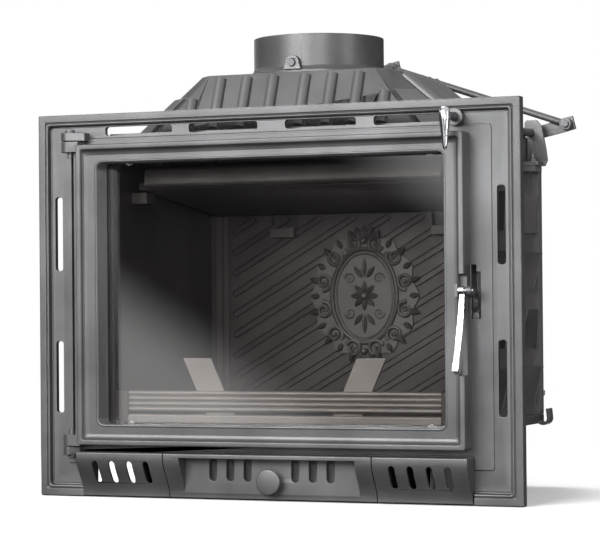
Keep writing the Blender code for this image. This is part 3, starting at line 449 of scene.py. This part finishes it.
def make_front_frame():
    """The rim filled with a stepped panel, with the apron's bed, boss, lugs, openings and bores."""
    casting = frame_rim()
    margin = 0.018
    panel_half = FRAME_HALF - margin
    apron_half = APRON_HALF + 0.001
    add(
        casting,
        box("panel", (-panel_half, panel_half), (0.006, 0.0138), (margin, FRAME_TOP - margin)),
        prism("pad", "Y", 0.004, 0.010, [rounded(0.305, 0.045, 0.487, 0.004)]),
        box("back_ring", (-0.285, 0.285), (0.010, 0.0277), (0.004, 0.486)),
    )
    cut(casting, box("apron_bed", (-apron_half, apron_half), (-0.02, 0.006), (-0.01, APRON_TOP + 0.0015)))
    boss = rod("lever_boss", (LEVER_X, -0.006, LEVER_Z), (LEVER_X, 0.010, LEVER_Z), 0.011)
    add(casting, boss, *hinge_lugs())
    cut(
        casting,
        prism("openings", "Y", -0.03, 0.05, frame_openings()),
        box("latch_pocket", (0.2768, 0.2890), (-0.01, 0.0270), (0.238, 0.298)),
        box("latch_pocket_top", (0.2768, 0.2835), (-0.01, 0.0270), (0.290, 0.307)),
        box("hinge_gap", (-0.2962, -0.2900), (-0.01, 0.0132), (0.086, 0.466)),
        prism("hinge_bores", "Z", 0.050, 0.500, [circle((HINGE_X, HINGE_DEPTH), HINGE_BORE)]),
    )
    bolts = [circle((side * 0.275, z), 0.0034, 12) for side in (-1, 1) for z in (0.135, 0.460)]
    cut(casting, prism("bolt_bores", "Y", 0.0175, 0.05, bolts))
    place(round_edges(casting, 0.0007), "insert", "front_frame")


# ---------------------------------------------------------------- door
def door_moulding():
    """A raised ridge, a hollow slope, a flat face, a lip around the view and the seats of the seals."""
    stations = []

    def outer(inset, depth, corner):
        stations.append((DOOR_HALF - inset, DOOR_LOW + inset, DOOR_HIGH - inset, corner, depth))

    def inner(grow, depth, corner):
        stations.append((0.247 + grow, 0.099 - grow, 0.452 + grow, corner, depth))

    ridge = ((0.0004, -0.0232), (0.0014, -0.0240), (0.0056, -0.0240), (0.0066, -0.0237), (0.0072, -0.0229))
    lip = ((0.0034, -0.0160), (0.0028, -0.0166), (0.0018, -0.0170), (0.0008, -0.0166), (0.0, -0.0154))
    outer(0.0, 0.0030, 0.004)
    outer(0.0, -0.0220, 0.004)
    for inset, depth in ridge:
        outer(inset, depth, 0.0035)
    for i in range(6):
        t = math.pi / 2 * i / 5
        outer(0.0140 - 0.0064 * math.cos(t), -0.0163 - 0.0060 * (1 - math.sin(t)), 0.004)
    outer(0.0146, -0.0160, 0.004)
    for grow, depth in lip:
        inner(grow, depth, 0.008 + grow)
    inner(0.0, 0.0120, 0.008)
    for half, low, high, depth in (
        (0.2605, 0.0865, 0.4615, 0.0120), (0.2605, 0.0865, 0.4615, 0.0030),
        (0.2684, 0.0786, 0.4694, 0.0030), (0.2684, 0.0786, 0.4694, -0.0031),
        (0.2754, 0.0716, 0.4764, -0.0031), (0.2754, 0.0716, 0.4764, 0.0030),
    ):
        stations.append((half, low, high, 0.003, depth))
    return ring("door_casting", stations, IRON)


def door_ears():
    """The two ears at the left, round about the hinge axis."""
    radius = 0.0118
    ears = []
    for low, high in ((0.4674, 0.4815), (0.0695, 0.0845)):
        outline = [(-0.2735, 0.001), (-0.2735, HINGE_DEPTH - radius)]
        outline += arc((HINGE_X, HINGE_DEPTH), radius, -90, -180, 12)
        outline += arc((HINGE_X, HINGE_DEPTH), radius, 180, 122, 6)
        ears.append(prism("ear", "Z", low, high, [outline]))
    return ears


def make_door_frame():
    """The moulding with a strip on the hinge side, a cheek for the handle's pin, two ears and the bores."""
    casting = door_moulding()
    left, right, front, back = -0.2872, -0.2745, -0.009, 0.002
    profile = [(left, front + 0.002), (left + 0.001, front), (right, front), (right, back), (left, back)]
    stile = prism("stile", "Z", 0.080, 0.470, [profile])
    cheek = box("cheek", (0.2625, 0.2668), (-0.0222, -0.012), (PIVOT_Z - 0.008, PIVOT_Z + 0.008))
    add(casting, stile, cheek, *door_ears())
    notch = [(-0.05, 0.163), (-0.05, 0.298), (-0.0105, 0.294), (-0.0105, 0.167)]
    cut(
        casting,
        prism("notch", "X", 0.2668, 0.290, [notch]),
        rod("pin_bore", (0.2635, PIVOT_DEPTH, PIVOT_Z), (0.30, PIVOT_DEPTH, PIVOT_Z), PIVOT_BORE),
        prism("ear_bores", "Z", 0.05, 0.50, [circle((HINGE_X, HINGE_DEPTH), HINGE_BORE)]),
    )
    place(round_edges(casting, 0.0005), "door", "door_frame")


# ---------------------------------------------------------------- handle
def make_handle():
    """A polished flat bar that widens and leans out towards its lower end, and the pin through its eye."""
    start = Vector((PIVOT_DEPTH, PIVOT_Z + 0.004))
    pull = Vector((-0.0200, 0.235))
    end = Vector((-0.0470, 0.1710))
    middle_x, steps = 0.2724, 18
    loops = []
    for i in range(steps + 1):
        t = i / steps
        spot = start * (1 - t) ** 2 + pull * 2 * t * (1 - t) + end * t * t
        along = ((pull - start) * (1 - t) + (end - pull) * t).normalized()
        across = Vector((-along.y, along.x))
        end_round = 1 - 0.12 * max(t - 0.97, 0) / 0.03
        width = (0.0066 + 0.0020 * t) * end_round
        thick = (0.0070 + 0.0060 * t) * end_round
        loop = []
        for u, v in rounded(width / 2, -thick / 2, thick / 2, 0.0011, 3):
            depth, z = spot + across * v
            loop.append((middle_x + u, deep(depth), z))
        loops.append(loop)
    bar = loft("door_handle_bar", loops, BRIGHT)
    eye = prism("eye", "X", 0.2676, 0.2748, [circle((PIVOT_DEPTH, PIVOT_Z), 0.0062, 32)])
    add(bar, eye)
    cut(bar, rod("bore", (0.25, PIVOT_DEPTH, PIVOT_Z), (0.30, PIVOT_DEPTH, PIVOT_Z), PIVOT_BORE))
    place(round_edges(bar, 0.0006, 3), "latch", "door_handle")
    pin_ends = (0.2640, PIVOT_DEPTH, PIVOT_Z), (0.2868, PIVOT_DEPTH, PIVOT_Z)
    pin = rod("handle_pin_turned", *pin_ends, PIVOT_BORE - 0.0004, STEEL)
    place(round_edges(pin, 0.0004), "latch", "handle_pin")


# ---------------------------------------------------------------- damper lever
def make_lever():
    """A polished drop on the head of the shaft, widest at the shaft and tapering down to its tip."""
    head_depth = -0.0425
    profile = (  # rise above the shaft, radius
        (0.0108, 0.0016), (0.0102, 0.0036), (0.0085, 0.0056), (0.0050, 0.0071),
        (0.0, 0.0076), (-0.006, 0.0073), (-0.016, 0.0060), (-0.026, 0.0047),
        (-0.034, 0.0038), (-0.040, 0.0032), (-0.0430, 0.0024), (-0.0442, 0.0009),
    )
    loops = []
    for rise, radius in profile:
        level = circle((LEVER_X, head_depth), radius, 28)
        loops.append([(x, deep(depth), LEVER_Z + rise) for x, depth in level])
    drop = loft("damper_lever_drop", loops, BRIGHT)
    smooth = drop.modifiers.new("smooth", "SUBSURF")
    smooth.levels = smooth.render_levels = 1
    settle(drop)
    cut(drop, rod("socket", (LEVER_X, head_depth + 0.0002, LEVER_Z), (LEVER_X, 0, LEVER_Z), LEVER_BORE))
    place(soften(drop, 50), "lever_and_shaft", "damper_lever")


# ---------------------------------------------------------------- apron
def ogee(steps=28):
    """The apron's front, from the lip down to the foot, as (depth, z)."""
    lip_z, foot_z, proud = APRON_TOP - 0.005, 0.002, 0.024
    line = [(-proud + 0.0008, APRON_TOP), (-proud, APRON_TOP - 0.0008)]
    for i in range(steps + 1):
        t = i / steps
        depth = -proud + (proud - 0.002) * (1 - math.cos(math.pi * t)) / 2
        line.append((depth, lip_z + (foot_z - lip_z) * t))
    return line


def apron_skin():
    return [(0.0057, 0.0005), *reversed(ogee()), (0.0057, APRON_TOP)]


def make_grille(label, side):
    """A hollow casting with four slots at one end of the apron."""
    low, high = sorted((side * (DRAWER_HALF + 0.001), side * APRON_HALF))
    grille = prism(f"{label}_grille_casting", "X", low, high, [apron_skin()], IRON)
    wall, floor = 0.005, 0.006
    hollow = [(0.02, floor), *[(depth + wall, max(z, floor)) for depth, z in reversed(ogee()[2:-1])]]
    hollow.append((0.02, APRON_TOP - wall))
    slots = [stadium((side * x, 0.0245), (side * x, 0.0455), 0.0045) for x in (0.175, 0.200, 0.226, 0.251)]
    cut(
        grille,
        prism("hollow", "X", low + wall, high - wall, [hollow]),
        prism("slots", "Y", -0.05, 0.05, slots),
    )
    place(round_edges(grille, 0.0009, 3), "insert", f"{label}_air_grille")


def make_drawer_front():
    """The apron's middle, with a sunk face and two groups of three slots."""
    front = prism("drawer_front_casting", "X", -DRAWER_HALF, DRAWER_HALF, [apron_skin()], IRON)
    pocket = box("pocket", (-0.125, 0.125), (-0.05, -0.003), (-0.01, 0.0555))
    openings = [circle((0, KNOB_Z), KNOB_BORE)]
    for x in (0.034, 0.059, 0.084):
        for middle in (-x, x):
            openings.append(stadium((middle, 0.0305), (middle, 0.0495), 0.0055))
    cut(front, pocket, prism("slots", "Y", -0.05, 0.05, openings))
    place(round_edges(front, 0.0009, 3), "ash_drawer", "ash_drawer_front")


def make_knob():
    """A turned knob with a domed face, on its stud."""
    loops = []
    for depth, radius in (
        (-0.0160, 0.0148), (-0.0157, 0.0160), (-0.0148, 0.0168), (-0.0135, 0.0170), (-0.0122, 0.0166),
        (-0.0110, 0.0152), (-0.0085, 0.0140), (-0.0033, 0.0136), (-0.0033, 0.0040), (0.0135, 0.0040),
    ):
        loops.append([(x, deep(depth), z) for x, z in circle((0, KNOB_Z), radius, 56)])
    place(loft("ash_drawer_knob_turned", loops, IRON), "ash_drawer", "ash_drawer_knob")


# ---------------------------------------------------------------- fireback
def reed_lines(low, high, half, step, climb):
    """Parallel slanted lines that fill a rectangle, each as its two ends."""
    lines = []
    rise = 2 * half * climb
    count = int((high - low + rise) / step)
    for row in range(count + 1):
        base = low - rise + row * step + 0.007
        first = max(0.0, (low - base) / climb)
        last = min(2 * half, (high - base) / climb)
        if last - first > 0.020:
            lines.append([(-half + run, base + run * climb) for run in (first, last)])
    return lines


def make_back_liner():
    """The cast fireback: slanted reeds in shallow grooves, edge strips, and two notches with ledges."""
    half, low, high, front, back = 0.2447, HEARTH_LOW, 0.3895, 0.3490, 0.3598
    liner = box("back_liner_casting", (-half, half), (front, back), (low, high), SOOTED)
    lines = reed_lines(low + 0.008, high - 0.006, 0.205, 0.0305, math.tan(math.radians(30)))
    grooves = [stadium(*ends, 0.0050, 5) for ends in lines]
    reeds = [stadium(*ends, 0.0036, 5) for ends in lines]
    notches, ledges, strips = [], [], []
    for side in (-1, 1):
        notch = ((0.1015, 0.40), (0.1490, 0.40), (0.1445, 0.3575), (0.1060, 0.3575))
        notches.append([(side * x, z) for x, z in notch])
        ledges.append(rectangle(side * 0.1440, side * 0.1065, 0.3570, 0.3700))
        for middle, width in ((0.2195, 0.0035), (0.2310, 0.0045)):
            strips.append(rectangle(side * middle - width, side * middle + width, low + 0.001, high))
    cut(
        liner,
        prism("grooves", "Y", 0.330, front + 0.0022, grooves),
        prism("notches", "Y", 0.330, 0.370, notches),
    )
    add(
        liner,
        prism("reeds", "Y", front - 0.0002, front + 0.004, reeds),
        prism("edge_strips", "Y", front - 0.0025, front + 0.001, strips),
    )
    add(liner, prism("ledges", "Y", 0.336, back - 0.0003, ledges))
    place(round_edges(liner, 0.0004), "insert", "back_liner")


# ---------------------------------------------------------------- medallion
def leaf(root, angle, length, width, height, front):
    """A domed leaf that points along angle from its root, with a crease down its middle."""
    along = Vector((math.cos(angle), math.sin(angle)))
    across = Vector((-along.y, along.x))
    loops = []
    steps, sides = 8, 8
    for i in range(steps + 1):
        t = i / steps
        swell = max(math.sin(math.pi * (0.06 + 0.90 * t)) ** 0.8 * (1 - 0.35 * t), 0.05)
        loop = []
        for j in range(sides + 1):
            u = math.cos(math.pi * j / sides)
            lift = math.sqrt(max(1 - u * u, 0)) * (0.72 + 0.28 * min(abs(u) * 3, 1))
            spot = Vector(root) + along * length * t + across * u * swell * width / 2
            loop.append((spot.x, deep(front - lift * swell * height), spot.y))
        for u in (-0.8, 0.8):
            spot = Vector(root) + along * length * t + across * u * swell * width / 2
            loop.append((spot.x, deep(front + 0.0012), spot.y))
        loops.append(loop)
    return loft("leaf", loops)


def scroll(centre, radius, first, turn, front, thick=0.0034):
    """A volute that winds in from its outer end, and a bead at its eye. turn is +1 or -1."""
    points, radii = [], []
    steps = 22
    for i in range(steps + 1):
        t = i / steps
        angle = first + turn * 2.7 * math.pi * t
        size = radius * (1 - 0.74 * t)
        points.append((centre[0] + size * math.cos(angle), front, centre[1] + size * math.sin(angle)))
        radii.append(thick * (1 - 0.45 * t))
    return [tube("scroll", points, radii), bead(centre, thick * 0.85, front)]


def bead(centre, radius, front):
    """A ball whose middle lies in the plane front."""
    bm = bmesh.new()
    spot = Matrix.Translation((centre[0], deep(front), centre[1]))
    bmesh.ops.create_icosphere(bm, subdivisions=2, radius=radius, matrix=spot)
    return from_bmesh("bead", bm)


def join(name, pieces, finish):
    """One piece from several closed bodies."""
    bm = bmesh.new()
    for piece in pieces:
        bm.from_mesh(piece.data)
        bpy.data.objects.remove(piece)
    return from_bmesh(name, bm, finish)


def around(centre, half_x, half_z, angle):
    """The point of an ellipse at this angle in radians."""
    return (centre[0] + half_x * math.cos(angle), centre[1] + half_z * math.sin(angle))


def medallion_rim(centre, front):
    """A scalloped plate with volutes, leaves and two oval beads, and a crown and a foot of leaves."""
    outline = []
    for i in range(144):
        t = 2 * math.pi * i / 144
        swell = 1 + 0.045 * math.cos(12 * t)
        outline.append(around(centre, 0.0800 * swell, 0.0900 * swell, t))
    pieces = [prism("scalloped_plate", "Y", front, 0.3495, [outline])]
    for half_x, half_z, thick, sink in ((0.0500, 0.0680, 0.0034, 0.0), (0.0435, 0.0615, 0.0014, 0.0002)):
        path = [(x, front + sink, z) for x, z in ellipse(centre, half_x, half_z, 72)]
        pieces.append(tube("oval_bead", path, thick, cyclic=True))
    for i in range(12):
        t = math.radians(15 + 30 * i)
        turn = 1 if i % 2 else -1
        eye = around(centre, 0.0655, 0.0790, t)
        pieces += scroll(eye, 0.0125, t + turn * math.pi * 0.55, turn, front - 0.0008)
    for i in range(24):
        t = math.radians(15 * i)
        length = 0.0185 if i % 2 else 0.0140
        pieces.append(leaf(around(centre, 0.0700, 0.0800, t), t, length, 0.0105, 0.0056, front))
    for up, count in ((1, 5), (-1, 3)):
        for i in range(count):
            t = math.radians(180 - 90 * up + (i - (count - 1) / 2) * 26)
            root = around((centre[0], centre[1] + up * 0.078), 0.010, 0.004, t)
            pieces.append(leaf(root, t, 0.0205, 0.0125, 0.0062, front))
        pieces.append(bead((centre[0], centre[1] + up * 0.080), 0.0052, front - 0.003))
    return pieces


def medallion_field(centre, front):
    """A rosette of eight leaves between two sprays, each of three leaves and two volutes."""
    pieces = [bead(centre, 0.0062, front - 0.001)]
    for i in range(8):
        t = math.radians(45 * i)
        pieces.append(leaf(around(centre, 0.0045, 0.0045, t), t, 0.0175, 0.0110, 0.0046, front))
    for up in (1, -1):
        foot = (centre[0], centre[1] + up * 0.022)
        for lean, length in ((-38, 0.021), (0, 0.028), (38, 0.021)):
            t = math.radians(90 * up + lean)
            pieces.append(leaf(around(foot, 0.006, 0.006, t), t, length, 0.0100, 0.0042, front))
        for side in (-1, 1):
            eye = (centre[0] + side * 0.0225, centre[1] + up * 0.0250)
            pieces += scroll(eye, 0.0085, math.radians(90 - 90 * side), side * up, front, 0.0020)
    return pieces


def make_medallion():
    """A generic ornament on the fireback: a scalloped oval of volutes and leaves around a rosette."""
    centre = (0.0, 0.270)
    pieces = medallion_rim(centre, 0.3462) + medallion_field(centre, 0.3470)
    place(join("fireback_medallion", pieces, SOOTED), "insert")


# ---------------------------------------------------------------- hearth sill, fire guard and baffle
def make_sill():
    """The front lip of the hearth, under the log bar."""
    front, back, top, curve = 0.0300, 0.0500, 0.1110, 0.0025
    outline = [(front, HEARTH_LOW), (front, top - curve)]
    outline += arc((front + curve, top - curve), curve, 180, 90, 6)
    outline += [(back, top), (back, HEARTH_LOW)]
    sill = prism("hearth_sill", "X", -HEARTH_HALF, HEARTH_HALF, [outline], ASH_GREY)
    place(round_edges(sill, 0.0005), "insert")


def make_log_bar():
    """The ribbed bar across the front of the fire, with a tongue at each end."""
    bar_low, bar_high, ridge = 0.114, 0.143, 0.00725
    outline = [(0.0385, bar_low), (0.0385, bar_high)]
    for i in range(4):
        top = bar_high - i * ridge
        outline.append((0.0345, top))
        outline += arc((0.0338, top - 0.0031), 0.0029, 90, 270, 8)
        outline.append((0.0348, top - 0.0066))
    bar = prism("log_bar_casting", "X", -HEARTH_HALF, HEARTH_HALF, [outline], ASH_GREY)
    tongues = []
    for side in (-1, 1):
        reach = sorted((side * 0.223, side * 0.236))
        tongues.append(box("tongue", reach, (0.0345, 0.0375), (0.118, 0.141)))
    add(bar, *tongues)
    place(round_edges(bar, 0.0005), "insert", "log_bar")


def make_baffle():
    """The sloping lower baffle, with its rolled front edge."""
    slab = [(0.345, 0.3905), (0.345, 0.3975), (0.080, 0.4290), (0.0760, 0.4190)]
    baffle = prism("lower_baffle_casting", "X", -0.230, 0.230, [slab], SOOTED)
    roll = [(0.0900, 0.4270), (0.0900, 0.4480), *arc((0.0740, 0.4400), 0.0080, 90, 150, 6)]
    roll += [(0.0650, 0.4330), *arc((0.0705, 0.4265), 0.0060, 180, 270, 6)]
    add(baffle, prism("roll", "X", -0.216, 0.216, [roll]))
    place(round_edges(baffle, 0.0008), "insert", "lower_baffle")


# ---------------------------------------------------------------- hood and collar
def hood_shape(part):
    """The hood's half width, front, back and corner cut, part of the way from its foot to its roof."""
    return [foot + (roof - foot) * part for foot, roof in zip(HOOD_FOOT, HOOD_ROOF)]


def hood_level(part):
    foot = HOOD_LOW + 0.004
    return foot + (HOOD_TOP - foot) * part


def octagon(shape, z, inset=0.0):
    """The outline of the hood at one height."""
    half, front, back, corner = shape
    half, front, back = half - inset, front + inset, back - inset
    plan = [(-half + corner, front), (half - corner, front), (half, front + corner), (half, back - corner)]
    plan += [(half - corner, back), (-half + corner, back), (-half, back - corner), (-half, front + corner)]
    return [(x, deep(depth), z) for x, depth in plan]


def hood_rib(side, across, low, high):
    """A half-sunk round rib, on the hood's front (side 0) or on its left or right slope. low and high are
    parts of the way up."""
    ends = []
    for part in (low, high):
        half, front, _, _ = hood_shape(part)
        x, depth = (side * half, across) if side else (across, front)
        ends.append((x, depth, hood_level(part)))
    return rod("rib", *ends, 0.008, sides=28)


def corner_pad(side):
    """A raised land on the lower part of the hood's front corner."""
    loops = []
    for part in (0.03, 0.62):
        half, front, _, corner = hood_shape(part)
        loop = []
        for share, proud in ((0.08, -0.006), (0.92, -0.006), (0.92, 0.006), (0.08, 0.006)):
            x = half - corner * (1 - share) + proud * math.sqrt(0.5)
            depth = front + corner * share - proud * math.sqrt(0.5)
            loop.append((side * x, deep(depth), hood_level(part)))
        loops.append(loop)
    return loft("corner_pad", loops)


def make_hood():
    """A hollow eight-sided hood with ribs on three slopes, corner pads and a mouth under the collar."""
    hood = loft("smoke_hood_casting", [octagon(HOOD_FOOT, HOOD_LOW), octagon(HOOD_ROOF, HOOD_TOP)], IRON)
    flange = box("flange", (-0.250, 0.250), (0.0290, 0.369), (HOOD_LOW + 0.0001, HOOD_LOW + 0.006))
    ribs = [hood_rib(0, x, 0.06, 0.93) for x in (-0.102, -0.063, -0.024, 0.0225, 0.0615, 0.100)]
    corners = []
    for side in (-1, 1):
        ribs += [hood_rib(side, depth, 0.08, 0.90) for depth in (0.115, 0.145, 0.175, 0.205, 0.235)]
        corners += [hood_rib(0, side * 0.140, 0.05, 0.58), corner_pad(side)]
    add(hood, flange, *ribs)
    add(hood, *corners)
    room = [octagon(HOOD_FOOT, HOOD_LOW - 0.010, 0.002), octagon(HOOD_ROOF, HOOD_TOP - 0.006, 0.008)]
    mouth = rod("mouth", (0, COLLAR_DEPTH, 0.5), (0, COLLAR_DEPTH, 0.6), 0.084, sides=72)
    cut(hood, loft("inside", room), mouth)
    place(round_edges(hood, 0.0010), "insert", "smoke_hood")


def make_collar():
    """A turned collar with a swept foot, and an arched boss at each end of the damper's axle."""
    outer, inner, foot, lip = 0.090, 0.085, COLLAR_FOOT, 0.0005
    profile = [(outer - lip, COLLAR_TOP), (outer, COLLAR_TOP - lip), (outer, foot + 0.011)]
    profile += [(outer + 0.0008, foot + 0.008), (outer + 0.0030, foot + 0.0050)]
    profile += [(outer + 0.004, foot + 0.0035), (outer + 0.004, foot)]
    profile += [(inner, foot), (inner, COLLAR_TOP - lip), (inner + lip, COLLAR_TOP)]
    collar = turned("flue_collar_casting", COLLAR_DEPTH, profile, IRON, 112)
    arch = [(-0.0125, foot + 0.004), (0.0125, foot + 0.004), *arc((0, AXLE_Z), 0.0100, 0, 180, 16)]
    for near, far in ((-0.0985, -0.0870), (0.0870, 0.0985)):
        add(collar, prism("boss", "Y", COLLAR_DEPTH + near, COLLAR_DEPTH + far, [arch]))
    cut(collar, rod("bores", (0, 0.05, AXLE_Z), (0, 0.30, AXLE_Z), AXLE_BORE))
    place(round_edges(collar, 0.0006), "insert", "flue_collar")


# ---------------------------------------------------------------- CAD nodes that stay
def finish_nodes():
    """Gives each CAD node that is still shown its material and slightly rounded edges."""
    finishes = {
        IRON: ("back_wall", "base_plate", "ash_box", "shaft_bearing"),
        SOOTED: (
            "ash_pan", "left_wall", "right_wall", "grate", "upper_baffle", "log_bar_bracket", "damper_plate",
        ),
        ASH_GREY: ("log_horn",),
        BRIGHT: ("glass_clip",),
        BLACK_STEEL: (
            "hinge_pin", "link_", "shaft_crank", "axle_crank", "damper_shaft", "damper_axle", "bearing_bolt",
            "latch_",
        ),
        GLASS: ("door_glass",),
        ROPE: ("door_gasket", "glass_gasket"),
    }
    for name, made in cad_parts.items():
        if made.hide_render:
            continue
        finish = STEEL
        for choice, starts in finishes.items():
            if name.startswith(starts):
                finish = choice
        made.data.materials.clear()
        made.data.materials.append(finish)
        if finish not in (GLASS, ROPE):
            bevelled(made, 0.0004 if finish in (STEEL, BLACK_STEEL) else 0.0008)
            flat_faces(made)
            made.data.shade_smooth()


# ---------------------------------------------------------------- studio
def make_camera():
    """Eye level, a little to the right of the insert's front."""
    camera = bpy.data.objects.new("camera", bpy.data.cameras.new("camera"))
    bpy.context.scene.collection.objects.link(camera)
    camera.data.sensor_width = 36.0
    camera.data.lens = 144.2
    camera.data.clip_end = 60.0
    spot = Vector((1.2458, -3.1014, 0.2583))
    ahead = Vector((-0.38200562, 0.9240673, 0.0130896)).normalized()
    roll = math.radians(-0.5)
    level = Vector((ahead.y, -ahead.x, 0)).normalized()
    above = level.cross(ahead)
    right = level * math.cos(roll) + above * math.sin(roll)
    up = above * math.cos(roll) - level * math.sin(roll)
    turn = Matrix((right, up, -ahead)).transposed().to_4x4()
    camera.matrix_world = Matrix.Translation(spot) @ turn
    bpy.context.scene.camera = camera


def soft_box(name, spot, target, size, watts):
    """An area light at spot that points at target."""
    light = bpy.data.lights.new(name, "AREA")
    light.shape = "RECTANGLE"
    light.size, light.size_y = size
    light.energy = watts
    made = bpy.data.objects.new(name, light)
    bpy.context.scene.collection.objects.link(made)
    made.location = spot
    made.rotation_euler = (Vector(target) - Vector(spot)).to_track_quat("-Z", "Y").to_euler()
    made.visible_camera = False
    return made


def direction_lobe(tree, towards, start, end, dim, bright):
    """A level that goes from dim to bright as the ray's part along towards goes from start to end."""
    way = put(tree, "ShaderNodeTexCoord").outputs["Generated"]
    lit = put(tree, "ShaderNodeVectorMath", {0: way, 1: towards}, operation="DOT_PRODUCT")
    limits = {"Value": lit.outputs["Value"], "From Min": start, "From Max": end}
    limits |= {"To Min": dim, "To Max": bright}
    return put(tree, "ShaderNodeMapRange", limits, interpolation_type="SMOOTHSTEP").outputs["Result"]


def make_world():
    """White to the camera. As light, a room that is brightest above and dim at the front, with two
    soft-edged bands low at the left for the pane to mirror."""
    world = bpy.data.worlds.new("studio")
    bpy.context.scene.world = world
    world.use_nodes = True
    tree = world.node_tree
    tree.nodes.clear()

    def lobe(towards, *limits):
        return direction_lobe(tree, Vector(towards).normalized(), *limits)

    def both(operation, a, b):
        return put(tree, "ShaderNodeMath", {0: a, 1: b}, operation=operation).outputs["Value"]

    room = lobe((0.30, -0.20, 0.93), -0.2, 0.95, 0.03, 0.9)
    shade = lobe((-0.38, -0.92, 0.0), 0.86, 0.97, 1.0, 0.18)
    slant = (-0.614, 0.0, -0.790)
    glow = both("MULTIPLY", lobe(slant, 0.258, 0.290, 0.0, 2.1), lobe(slant, 0.29, 0.42, 1.0, 0.0))
    ahead = lobe((-0.30, -0.95, 0.04), 0.975, 0.995, 0.0, 1.0)
    corner = both("MULTIPLY", lobe(slant, 0.180, 0.148, 0.0, 2.2), ahead)
    level = both("ADD", both("ADD", both("MULTIPLY", room, shade), glow), corner)
    soft = put(tree, "ShaderNodeBackground", {"Color": (1, 1, 1, 1), "Strength": level})
    white = put(tree, "ShaderNodeBackground", {"Color": (1, 1, 1, 1), "Strength": 1.0})
    seen = put(tree, "ShaderNodeLightPath").outputs["Is Camera Ray"]
    shaders = {0: seen, 1: soft.outputs["Background"], 2: white.outputs["Background"]}
    mix = put(tree, "ShaderNodeMixShader", shaders)
    put(tree, "ShaderNodeOutputWorld", {"Surface": mix.outputs["Shader"]})


def make_floor():
    """Grey with the insert's shadow near it, and plain white further out, so that it has no horizon. The
    insert doesn't mirror it."""
    near, far, side = -2.0, 14.0, 14.0
    bm = bmesh.new()
    bm.faces.new([bm.verts.new((x, y, -0.0004)) for x, y in rectangle(-side, side, near, far)])
    pale = bpy.data.materials.new("pale_floor")
    pale.use_nodes = True
    tree = pale.node_tree
    shader = tree.nodes["Principled BSDF"]
    shader.inputs["Base Color"].default_value = (0.85, 0.85, 0.85, 1)
    shader.inputs["Roughness"].default_value = 0.9
    place = put(tree, "ShaderNodeTexCoord").outputs["Object"]
    reach = put(tree, "ShaderNodeVectorMath", {0: place}, operation="LENGTH").outputs["Value"]
    limits = {"Value": reach, "From Min": 0.50, "From Max": 1.00, "To Min": 0.0, "To Max": 1.0}
    share = put(tree, "ShaderNodeMapRange", limits, interpolation_type="SMOOTHSTEP").outputs["Result"]
    white = put(tree, "ShaderNodeEmission", {"Color": (1, 1, 1, 1), "Strength": 1.0})
    shaders = {0: share, 1: shader.outputs["BSDF"], 2: white.outputs["Emission"]}
    mix = put(tree, "ShaderNodeMixShader", shaders)
    tree.links.new(mix.outputs["Shader"], tree.nodes["Material Output"].inputs["Surface"])
    floor = from_bmesh("studio_floor", bm, pale)
    floor.visible_diffuse = False
    floor.visible_glossy = False


def make_studio():
    """A wide key light from the front left, a narrow strip from the right, a light above the hood, a small
    fill into the fire room and a faint strip on the fireback."""
    make_world()
    make_floor()
    soft_box("key", (-0.9, -3.2, 1.6), (0, 0, 0.25), (2.6, 1.5), 215)
    soft_box("edge_strip", (3.0, -0.9, 0.6), (0, 0, 0.30), (0.15, 1.8), 26)
    soft_box("top", (-0.9, 1.0, 2.5), (0, 0.2, 0.4), (1.2, 1.2), 50)
    soft_box("fire_fill", (1.5, -3.3, 0.6), (0, 0.1, 0.25), (0.6, 0.6), 55)
    under_baffle, liner_middle = (0.08, deep(0.095), 0.395), (-0.02, deep(0.349), 0.24)
    fireback = soft_box("fireback_light", under_baffle, liner_middle, (0.30, 0.02), 0.12)
    fireback.data.spread = math.radians(120)
    bpy.context.scene.view_settings.view_transform = "Standard"


make_camera()
make_front_frame()
make_door_frame()
make_handle()
make_lever()
make_grille("left", -1)
make_grille("right", 1)
make_drawer_front()
make_knob()
make_back_liner()
make_medallion()
make_sill()
make_log_bar()
make_baffle()
make_hood()
make_collar()
finish_nodes()
make_studio()
